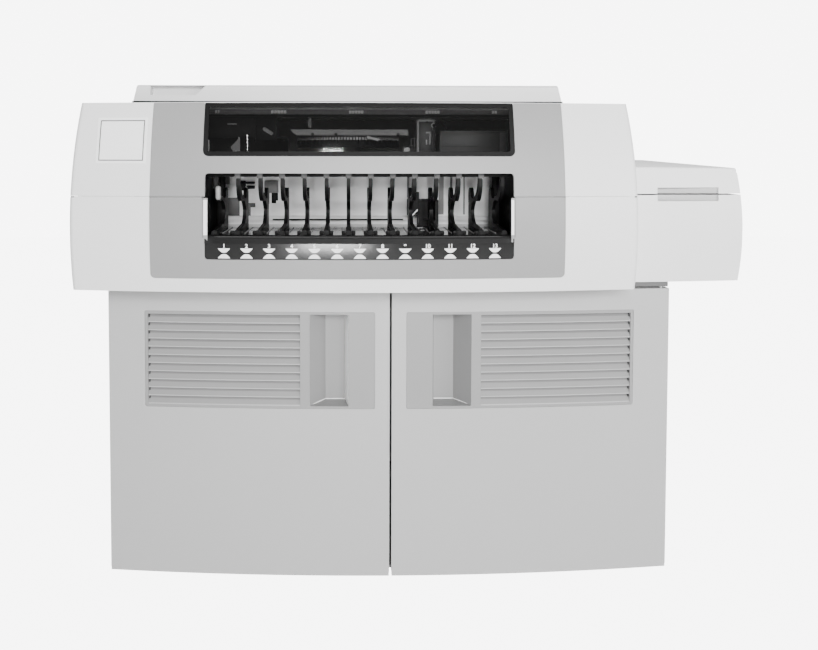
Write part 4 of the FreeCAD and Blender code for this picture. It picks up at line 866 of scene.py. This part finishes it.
def makeBackParts():
    sizes = backParts
    face = sizes["face"]
    screws = bmesh.new()
    for x in sizes["screwColumns"]:
        for z in sizes["screwRows"]:
            if x in (sizes["screwColumns"][0], sizes["screwColumns"][-1]) or z in (110.0, 730.0):
                addScrew(screws, (x, face, z), (0.0, 1.0, 0.0))
    fanX, fanZ = sizes["fan"]
    for dx in (-52.0, 52.0):
        for dz in (-52.0, 52.0):
            addScrew(screws, (fanX + dx, face, fanZ + dz), (0.0, 1.0, 0.0), 3.4)
    for side, outward in zip(sizes["sides"], (-1.0, 1.0)):
        for y in (-170.0, 90.0, 350.0):
            for z in (130.0, 420.0, 710.0):
                addScrew(screws, (side, y, z), (outward, 0.0, 0.0), 6.0)
    makePiece("panelScrews", screws, "pin_steel", "screw")
    guard = bmesh.new()
    for radius in sizes["guardRings"]:
        addRing(guard, (fanX, face + 1.8, fanZ), (0.0, 1.0, 0.0), radius, 1.1, 48, 8)
    for angle in (45.0, 135.0, 225.0, 315.0):
        dx, dz = math.cos(math.radians(angle)), math.sin(math.radians(angle))
        start = (fanX + dx * 14.0, face + 2.6, fanZ + dz * 14.0)
        addRod(guard, start, (fanX + dx * 73.0, face + 1.0, fanZ + dz * 73.0), 1.1, sides=10)
    makePiece("fanGuard", guard, "pin_steel")
    vents = bmesh.new()
    for side, outward in zip(sizes["sides"], (-1.0, 1.0)):
        for row in range(sizes["ventRows"]):
            z = 520.0 + row * 13.0
            x0, x1 = sorted((side - outward * 0.4, side + outward * 0.5))
            addBlock(vents, (x0, 0.0, z), (x1, 220.0, z + 5.0), 0.2)
    makePiece("panelVents", vents, "black_plastic", "darkSheet")
    x, z = sizes["inlet"]
    makeBlocks("powerInlet", [
        ((x - 26.0, face - 0.4, z - 22.0), (x + 26.0, face + 1.6, z + 22.0), 1.2),
        ((x - 17.0, face + 1.0, z - 13.0), (x + 17.0, face + 3.4, z + 10.0), 1.6),
        ((x + 40.0, face - 0.4, z - 16.0), (x + 62.0, face + 1.6, z + 16.0), 1.0),
        ((x + 44.0, face + 1.0, z - 12.0), (x + 58.0, face + 4.0, z + 12.0), 1.4),
    ], "black_plastic")
    shape = bmesh.new()
    for dx, dz in ((-9.0, -4.0), (0.0, 3.0), (9.0, -4.0)):
        addBlock(shape, (x + dx - 1.2, face + 3.0, z + dz - 3.0), (x + dx + 1.2, face + 4.4, z + dz + 3.0), 0.3)
    holes = bmesh.new()
    portLeft, portLow = sizes["ports"]
    for index in range(5):
        left = portLeft + index * sizes["portPitch"]
        addBlock(shape, (left, face - 0.3, portLow), (left + 22.0, face + 2.6, portLow + 14.0), 0.8)
        addBlock(holes, (left + 3.0, face + 2.2, portLow + 3.0), (left + 19.0, face + 3.0, portLow + 11.0), 0.3)
    makePiece("portShells", shape, "pin_steel", "screw")
    makePiece("portHoles", holes, "black_plastic", "darkSheet")
    makeBlocks("ratingPlate", [
        ((x - 40.0, face - 0.2, z + 60.0), (x + 60.0, face + 0.6, z + 120.0), 0.2),
    ], "light_panel", "plate")


makeBackParts()

# Bottles on the carousel, fittings and panels inside the cabinet
innerParts = {
    "carousel": (-465.0, 44.95),
    "count": 20,
    "rows": [(122.0, 14.5, 1079.0), (90.0, 10.5, 1070.0)],  # distance, radius, shoulder
    "trough": 1037.8,
    "electronics": (268.0, 518.0, -60.0),
}


def makeInnerParts():
    sizes = innerParts
    x0, y0 = sizes["carousel"]
    bottles, caps = bmesh.new(), bmesh.new()
    for reach, radius, shoulder in sizes["rows"]:
        for index in range(sizes["count"]):
            angle = math.tau * index / sizes["count"]
            x, y = x0 + reach * math.cos(angle), y0 + reach * math.sin(angle)
            addRod(bottles, (x, y, sizes["trough"]), (x, y, shoulder - 5.0), radius, sides=28)
            addRod(bottles, (x, y, shoulder - 5.0), (x, y, shoulder), radius, radius * 0.66, 28)
            addRod(caps, (x, y, shoulder - 0.2), (x, y, shoulder + 7.0), radius * 0.7, radius * 0.66, 28)
    makePiece("reagentBottles", bottles, "bottle_plastic", body="reagent_carousel")
    makePiece("reagentCaps", caps, "light_panel", "whiteSheet", "reagent_carousel")
    labels, lines = bmesh.new(), bmesh.new()
    for left, right, low, front in ((-575.0, -447.0, 170.0, -120.1), (45.0, 181.0, 180.0, -120.1)):
        addBlock(labels, (left, front - 0.5, low), (right, front + 0.3, low + 110.0), 0.2)
        for row in range(4):
            addBlock(lines, (left + 10.0, front - 0.8, low + 20.0 + row * 20.0),
                     (right - 10.0 - 18.0 * (row % 2), front - 0.4, low + 22.0 + row * 20.0), 0.1)
        for row in range(8):
            addBlock(lines, (right + 10.0, front - 0.3, low - 30.0 + row * 22.0),
                     (right + 17.0, front + 0.3, low - 28.6 + row * 22.0), 0.1)
    makePiece("bottleLabels", labels, "light_panel", "plate")
    makePiece("bottleMarks", lines, "black_plastic", "plateLine")
    elbows = bmesh.new()
    for x, y, top in ((-511.0, 9.9, 442.0), (113.0, 19.9, 462.0)):
        addRod(elbows, (x, y, top - 0.5), (x, y, top + 16.0), 5.0, 4.0, 20)
        addRod(elbows, (x, y + 2.5, top + 13.0), (x, y - 22.0, top + 13.0), 3.4, 2.8, 20)
        addRod(elbows, (x, y - 12.0, top + 13.0), (x, y - 15.0, top + 13.0), 4.6, 4.6, 6)
    makePiece("bottleElbows", elbows, "bottle_plastic", "midSheet")
    left, right, front = sizes["electronics"]
    sockets = bmesh.new()
    for index in range(6):
        x = left + 24.0 + index * 36.0
        addBlock(sockets, (x, front - 3.0, 140.0), (x + 24.0, front + 0.3, 158.0), 1.0)
        addBlock(sockets, (x, front - 3.0, 200.0), (x + 24.0, front + 0.3, 209.0), 1.0)
    makePiece("boardSockets", sockets, "black_plastic")
    lights = bmesh.new()
    for index in range(6):
        x = left + 36.0 + index * 36.0
        addRod(lights, (x, front - 2.0, 226.0), (x, front + 0.3, 226.0), 2.2, sides=16)
    makePiece("boardLights", lights, "light_panel", "sticker")
    screws = bmesh.new()
    for x in (left + 12.0, right - 12.0):
        for z in (108.0, 300.0, 504.0):
            addScrew(screws, (x, front, z), (0.0, -1.0, 0.0), 4.0)
    makePiece("boardScrews", screws, "pin_steel", "screw")


makeInnerParts()
print("back, sides and inner parts made")

# Small parts on the beam behind the window
beamParts = {
    "front": -187.65,
    "low": 1139.7,
    "high": 1146.9,
    "tabs": [(-465.3, -454.3), (-336.3, -300.0), (-156.0, -121.9), (21.4, 54.9), (175.4, 188.1)],
    "tabStep": 7.2,
}


def makeBeamParts():
    sizes = beamParts
    shape = bmesh.new()
    for left, right in sizes["tabs"]:
        count = max(1, round((right - left) / sizes["tabStep"]))
        step = (right - left) / count
        for index in range(count):
            x = left + index * step
            low = (x + 0.4, sizes["front"] - 1.2, sizes["low"])
            addBlock(shape, low, (x + step - 0.4, sizes["front"] + 0.5, sizes["high"]), 0.5)
    makePiece("beamTabs", shape, "light_panel", "ink")
    makeBlocks("beamApron", [
        ((-482.0, -189.4, 1084.0), (-372.0, -187.4, 1131.0), 0.6),  # sheet under the beam
        ((-372.0, -188.8, 1078.0), (-322.0, -187.4, 1131.0), 0.4),
        ((-482.0, -189.2, 1130.8), (222.0, -187.2, 1137.4), 0.3),
    ], "frame_paint", "deepSheet")
    makeBlocks("beamRail", [((-482.0, -188.4, 1137.6), (222.0, -187.2, 1148.0), 0.3)], "frame_paint", "midSheet")
    makeBlocks("beamStops", [
        ((-250.6, -187.6, 1107.4), (-242.6, -183.0, 1131.0), 1.0),
        ((-437.0, -190.6, 1113.5), (-415.0, -189.0, 1117.0), 0.6),
    ], "frame_paint", "midSheet")
    # tilted link of flat wire on the apron
    shape = bmesh.new()
    link = []
    half, radius = 9.0, 4.6
    for side, first in ((half, 0.0), (-half, math.pi)):
        for index in range(16):
            angle = first + math.pi * index / 15.0
            link.append((side + radius * math.sin(angle), radius * math.cos(angle)))
    lean = math.radians(-32.0)
    turned = [
        (-343.0 + x * math.cos(lean) - z * math.sin(lean), 1099.0 + x * math.sin(lean) + z * math.cos(lean))
        for x, z in link
    ]
    addProfile(shape, turned, -191.2, -188.5)
    face = min(shape.faces, key=lambda item: item.calc_center_median().y if len(item.verts) > 8 else 9.0)
    bmesh.ops.inset_region(shape, faces=[face], thickness=1.7 * mm, depth=0.0)
    bmesh.ops.translate(shape, vec=(0.0, 1.6 * mm, 0.0), verts=face.verts)
    makePiece("cableLink", shape, "frame_paint", "midSheet")


makeBeamParts()

# Brackets, probe and blocks that stand on the deck behind the window
deckParts = {
    "deck": 1022.0,
    "row": -240.0,
}


def makeDeckParts():
    deck, row = deckParts["deck"], deckParts["row"]
    shape = bmesh.new()
    addRod(shape, (-471.0, row, deck - 0.5), (-471.0, row, 1077.5), 1.7, sides=16)
    addRod(shape, (-471.0, row, deck - 0.5), (-471.0, row, deck + 6.0), 5.0, 3.4, 20)
    makePiece("guideRod", shape, "pin_steel")
    shape = bmesh.new()
    outline = [(-400.7, deck - 0.4), (-400.7, 1084.0), (-404.8, 1084.0), (-404.8, 1079.0), (-421.0, 1062.5)]
    outline += [(-421.0, 1058.0), (-410.0, 1046.0), (-410.0, deck - 0.4)]
    addProfile(shape, outline, row - 1.2, row + 1.2)
    addBlock(shape, (-410.0, row - 1.2, deck - 0.4), (-400.7, row + 14.0, deck + 2.4), 0.6)
    makePiece("gussetPlate", shape, "light_panel", "midSheet")
    shape = bmesh.new()
    addRod(shape, (-413.0, row - 3.2, 1051.5), (-413.0, row - 1.0, 1051.5), 3.2, sides=20)
    addRod(shape, (-384.5, row, deck - 0.5), (-384.5, row, 1086.5), 1.6, sides=20)
    for index in range(9):
        z = deck + 4.0 + index * 7.2
        addRod(shape, (-384.5, row, z), (-384.5, row, z + 4.6), 2.6, 2.3, 20)
    makePiece("segmentedProbe", shape, "probe_steel", "brightSteel")
    shape = bmesh.new()
    addBlock(shape, (-33.0, row - 6.0, deck - 0.4), (-19.5, row + 6.0, 1060.4), 1.0)
    for index in range(3):
        x = -30.0 + index * 4.2
        addBlock(shape, (x, row - 6.6, 1048.5), (x + 1.8, row - 5.6, 1058.8), 0.3)
    makePiece("ribbedBlock", shape, "light_panel", "sticker")


makeDeckParts()

# Trims of the process lid and the row of ticks round the ring
processParts = {
    "middle": (-158.0, -50.05),
    "ringRadius": 126.0,
    "tickLow": 1079.6,
    "tickHigh": 1085.6,
    "ticks": 112,
    "notches": [-240.0, -186.0, -41.6],
    "barFront": -187.4,
}


def makeProcessParts():
    sizes = processParts
    x, y = sizes["middle"]
    shape = bmesh.new()
    radius = sizes["ringRadius"]
    for index in range(sizes["ticks"]):
        before = len(shape.verts)
        addBlock(shape, (x - 1.6, y - radius - 0.9, sizes["tickLow"]), (x + 1.6, y - radius + 0.6, sizes["tickHigh"]))
        turnAdded(shape, before, (x, y, 0.0), math.tau * index / sizes["ticks"], "Z")
    makePiece("ringTicks", shape, "light_panel", "ink", "process_ring")
    shape = bmesh.new()
    bar = [(-278.0, 1089.6), (-18.0, 1089.6), (-18.0, 1103.0), (-290.6, 1103.0), (-290.6, 1101.0)]
    addProfile(shape, bar, sizes["barFront"], sizes["barFront"] + 3.6)
    makePiece("lidBar", shape, "light_panel", "rim")
    shape = bmesh.new()
    for left in sizes["notches"]:
        addRod(shape, (left, sizes["barFront"] - 1.2, 1092.0), (left, sizes["barFront"] + 1.0, 1092.0), 3.4, sides=20)
    makePiece("lidCatches", shape, "black_plastic")
    shape = bmesh.new()
    addBlock(shape, (-114.0, -180.6, 1079.4), (-86.0, -178.4, 1085.6), 1.0)
    turnAdded(shape, 0, (-100.0, -180.0, 1083.0), math.radians(14.0), "Y")
    addBlock(shape, (-110.0, -179.6, 1083.0), (-104.0, -168.0, 1087.0), 0.6)
    makePiece("lidLever", shape, "light_panel", "sticker")


makeProcessParts()

# Fronts of the pipettor column and the wash station behind the window
columnParts = {"front": -157.55}


def makeColumnParts():
    front = columnParts["front"]
    face = ((9.0, front - 1.4, 1050.0), (42.5, front + 0.5, 1123.0), 0.9)
    makeBlocks("columnFace", [face], "light_panel", "washerGrey")
    shape = bmesh.new()
    for x0, x1, z0, z1 in (
        (12.0, 13.4, 1052.0, 1121.0),
        (38.6, 40.0, 1052.0, 1121.0),
        (15.6, 16.6, 1060.0, 1112.0),
        (16.6, 38.6, 1057.5, 1058.7),
    ):
        addBlock(shape, (x0, front - 1.9, z0), (x1, front - 1.0, z1), 0.2)
    makePiece("columnRibs", shape, "light_panel", "darkSheet")
    makeBlocks("columnLatch", [
        ((25.5, front - 4.6, 1095.0), (37.0, front - 1.0, 1099.0), 0.7),
        ((33.6, front - 4.6, 1068.5), (37.0, front - 1.0, 1095.0), 0.7),
        ((25.5, front - 4.6, 1068.5), (29.0, front - 1.0, 1080.0), 0.7),
        ((44.5, front - 1.2, 1038.0), (47.4, front + 0.4, 1108.0), 0.5),
    ], "light_panel", "sticker")
    shape = bmesh.new()
    addRod(shape, (44.0, front - 3.0, 1114.0), (44.0, front + 0.6, 1114.0), 6.4, sides=28)
    addRod(shape, (28.5, front - 3.0, 1121.5), (28.5, front, 1121.5), 2.0, sides=16)
    makePiece("columnFitting", shape, "black_plastic")
    shape = bmesh.new()
    addRing(shape, (44.0, front - 3.6, 1114.0), (0.0, 1.0, 0.0), 5.0, 1.5, 32, 10)
    makePiece("columnRing", shape, "light_panel", "ink")
    shape = bmesh.new()
    for x in (-8.6, -1.4):
        addBlock(shape, (x, -150.0, 1066.0), (x + 1.5, -144.0, 1083.0), 0.5)
    for z in (1065.0, 1082.5):
        addBlock(shape, (-8.6, -150.0, z), (4.8, -144.0, z + 1.5), 0.5)
    makePiece("columnLoop", shape, "frame_paint", "midSheet")
    makeBlocks("washerFront", [((59.5, -151.6, 1028.0), (222.0, -149.6, 1102.0), 0.8)], "grey_fascia", "washerGrey")
    makeBlocks("washerEnd", [((202.0, -153.0, 1024.0), (221.0, -149.5, 1098.0), 1.0)], "grey_fascia", "midSheet")
    makeBlocks("washerLines", [
        ((150.0, -152.4, 1096.0), (202.0, -151.0, 1098.4), 0.4),
        ((62.0, -152.2, 1064.0), (150.0, -151.0, 1065.6), 0.4),
    ], "black_plastic", "darkSheet")


makeColumnParts()
print("parts behind the window made")

# Sample bay: parts on the rear wall, lane runners, end guides and the bracket of the transport
bayParts = {
    "wall": -98.6,
    "floor": 876.0,
    "ribbon": [
        (-479.0, 973.2),
        (-382.5, 948.1),
        (-302.2, 923.9),
        (-241.8, 907.9),
        (-258.8, 897.6),
        (-268.2, 891.1),
        (-302.2, 898.8),
        (-355.9, 915.1),
        (-436.0, 937.0),
        (-479.0, 945.6),
    ],
}


def makeBayParts():
    wall, floor = bayParts["wall"], bayParts["floor"]
    centre, pitch, lanes = laneMarks["middle"], laneMarks["pitch"], laneMarks["count"]
    shape = bmesh.new()
    addProfile(shape, bayParts["ribbon"], wall - 1.2, wall + 0.2)
    makePiece("wallRibbon", shape, "light_panel", "whiteSheet")
    makeBlocks("wallBrackets", [
        ((-490.0, wall - 1.5, floor + 5.0), (-422.0, wall + 0.2, 940.0), 0.5),
        ((-408.4, wall - 1.7, floor + 5.0), (-395.0, wall + 0.2, 927.0), 0.5),
        ((-395.6, wall - 1.7, 916.6), (-383.5, wall + 0.2, 927.0), 0.5),
        ((-395.6, wall - 1.7, 886.5), (-381.0, wall + 0.2, 890.0), 0.5),
    ], "black_plastic", "darkSheet")
    shape = bmesh.new()
    addBlock(shape, (-360.5, wall - 12.0, 952.0), (-327.5, wall + 0.2, 981.8), 1.4)
    addBlock(shape, (-479.0, wall - 1.6, 974.0), (-446.0, wall + 0.2, 1012.0), 0.6)
    for x0, x1, z0 in ((64.0, 76.0, 899.0), (92.0, 97.0, 899.0), (124.0, 128.0, 899.0), (-14.0, -8.0, 940.0)):
        addBlock(shape, (x0, wall - 1.6, z0), (x1, wall + 0.2, 1013.0), 0.4)
    makePiece("wallPosts", shape, "frame_paint", "midSheet")
    shape = bmesh.new()
    for x0, x1, z0 in ((-360.5, -349.5, 925.0), (-344.0, -333.0, 926.5), (-333.0, -328.5, 933.0)):
        addBlock(shape, (x0, wall - 1.7, z0), (x1, wall + 0.2, 952.4), 0.5)
    for x0, x1, z0, z1 in (
        (-421.0, -407.0, 958.0, 981.0),
        (-404.0, -384.0, 962.0, 969.0),
        (-418.0, -384.0, 974.0, 979.0),
    ):
        addBlock(shape, (x0, wall - 14.0, z0), (x1, wall + 0.2, z1), 1.0)
    makePiece("wallGrips", shape, "black_plastic")
    # black strip across the rail's front: painted shade line of the rail
    makeBlocks("railShadeStrip", [((-340.0, -119.4, 886.4), (-24.0, -118.2, 889.8), 0.3)], "black_plastic")
    # black strip under the upper edge of the opening
    makeBlocks("laneHeader", [((-460.0, -337.4, 997.0), (194.0, -333.8, 1004.6), 0.4)], "black_plastic")
    # guides at both ends, shaped like the lane guides beside them, on panels that close the ends
    shape = bmesh.new()
    for name, shift in (("lane_guide_1", -pitch), ("lane_guide_12", pitch)):
        before = len(shape.verts)
        shape.from_mesh(nodes[name].data)
        shape.verts.ensure_lookup_table()
        bmesh.ops.translate(shape, vec=(shift * mm, 0.0, 0.0), verts=shape.verts[before:])
    addBlock(shape, (-460.2, -200.0, floor - 0.3), (-441.0, -192.0, 1012.0), 2.0)
    addBlock(shape, (176.0, -200.0, floor - 0.3), (194.2, -192.0, 1012.0), 2.0)
    makePiece("endGuides", shape, "black_plastic")
    # runners that keep the racks straight in their lanes
    shape = bmesh.new()
    for lane in range(lanes):
        middle = centre + (lane - lanes // 2) * pitch
        for side in (-1, 1):
            near, far = middle + side * 8.2, middle + side * 9.6
            addBlock(shape, (min(near, far), -334.0, floor - 0.2), (max(near, far), -196.0, floor + 1.6), 0.3)
        addBlock(shape, (middle - 5.0, -268.0, floor - 0.2), (middle + 5.0, -264.0, floor + 0.9), 0.3)
        addBlock(shape, (middle - 7.0, -206.0, floor - 0.2), (middle + 7.0, -200.0, floor + 1.4), 0.3)
    makePiece("laneRunners", shape, "black_plastic", "midSheet")
    # small blocks beside the feet of the lane guides
    shape = bmesh.new()
    for gap in range(lanes - 1):
        middle = centre + (gap + 1 - lanes / 2) * pitch
        for side in (-1, 1):
            near, far = middle + side * 6.2, middle + side * 14.6
            addBlock(shape, (min(near, far), -352.0, floor - 0.3), (max(near, far), -340.0, floor + 6.6), 1.6)
    makePiece("guideFootBlocks", shape, "black_plastic")
    # rounded buffers inside the cheeks
    makeBlocks("cheekBuffer", [((-438.0, -352.0, 948.0), (-427.0, -338.0, 978.0), 4.6, 4)], "clip_plastic")
    # bracket that the rack transport carries
    shape = bmesh.new()
    outline = [(-19.0, 902.0), (9.6, 902.0), (9.6, 957.0), (-6.0, 957.0), (-19.0, 940.0)]
    addProfile(shape, outline, -166.0, -163.0)
    makePiece("transportBracket", shape, "black_plastic", body="transport")
    shape = bmesh.new()
    addProfile(shape, [(-9.5, 899.5), (-6.8, 899.5), (7.6, 914.5), (5.4, 916.6)], -168.6, -165.6)
    makePiece("transportEdge", shape, "light_panel", "whiteSheet", "transport")


makeBayParts()
print("parts in the sample bay made")

# Hose over the front of the washer, on the same route as in the source
hose = {
    "start": (74.0, -142.047, 1094.0),
    "heading": (-0.65, -0.76),
    "bend": 24.0,
    "rise": 4.5,
    "deck": 1022.0,
    "diameter": 5.0,
    "length": 156.4,
}


def makeHose():
    sizes = hose
    start = Vector(sizes["start"])
    heading = Vector((*sizes["heading"], 0.0)).normalized()
    far = start + heading * 2 * sizes["bend"]
    bend, reach = sizes["bend"], math.cos(math.radians(10.0))
    centre = start.z + sizes["rise"]
    tangent = bend * math.tan(math.radians(10.0))
    route = [start, Vector((start.x, start.y, centre - tangent))]
    for angle in range(10, 180, 20):
        along = bend * (1.0 - math.cos(math.radians(angle)) / reach)
        height = centre + bend * math.sin(math.radians(angle)) / reach
        route.append(Vector((start.x, start.y, height)) + heading * along)
    route.append(Vector((far.x, far.y, centre - tangent)))
    route.append(Vector((far.x, far.y, sizes["deck"])))
    curve = bpy.data.curves.new("washHose", "CURVE")
    curve.dimensions = "3D"
    spline = curve.splines.new("NURBS")
    spline.points.add(len(route) - 1)
    for point, place in zip(spline.points, route):
        point.co = (*(place * mm), 1.0)
    spline.order_u = 3
    spline.use_endpoint_u = True
    spline.resolution_u = 5
    curve.bevel_depth = sizes["diameter"] * mm / 2
    curve.bevel_resolution = 4
    curve.use_fill_caps = True
    curve.materials.append(finishes["hose_rubber"])
    piece = addObject("washHose", curve)
    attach(piece, "machine")
    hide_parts("wash_hose")
    shape = bmesh.new()
    for end, z in ((start, start.z), (far, sizes["deck"])):
        addRod(shape, (end.x, end.y, z - 0.4), (end.x, end.y, z + 5.0), 5.4, 4.8, 6)
        addRod(shape, (end.x, end.y, z + 4.6), (end.x, end.y, z + 9.0), 3.9, 3.3, 24)
    makePiece("hoseFittings", shape, "hose_rubber", "midSheet")


makeHose()
print("hose made")
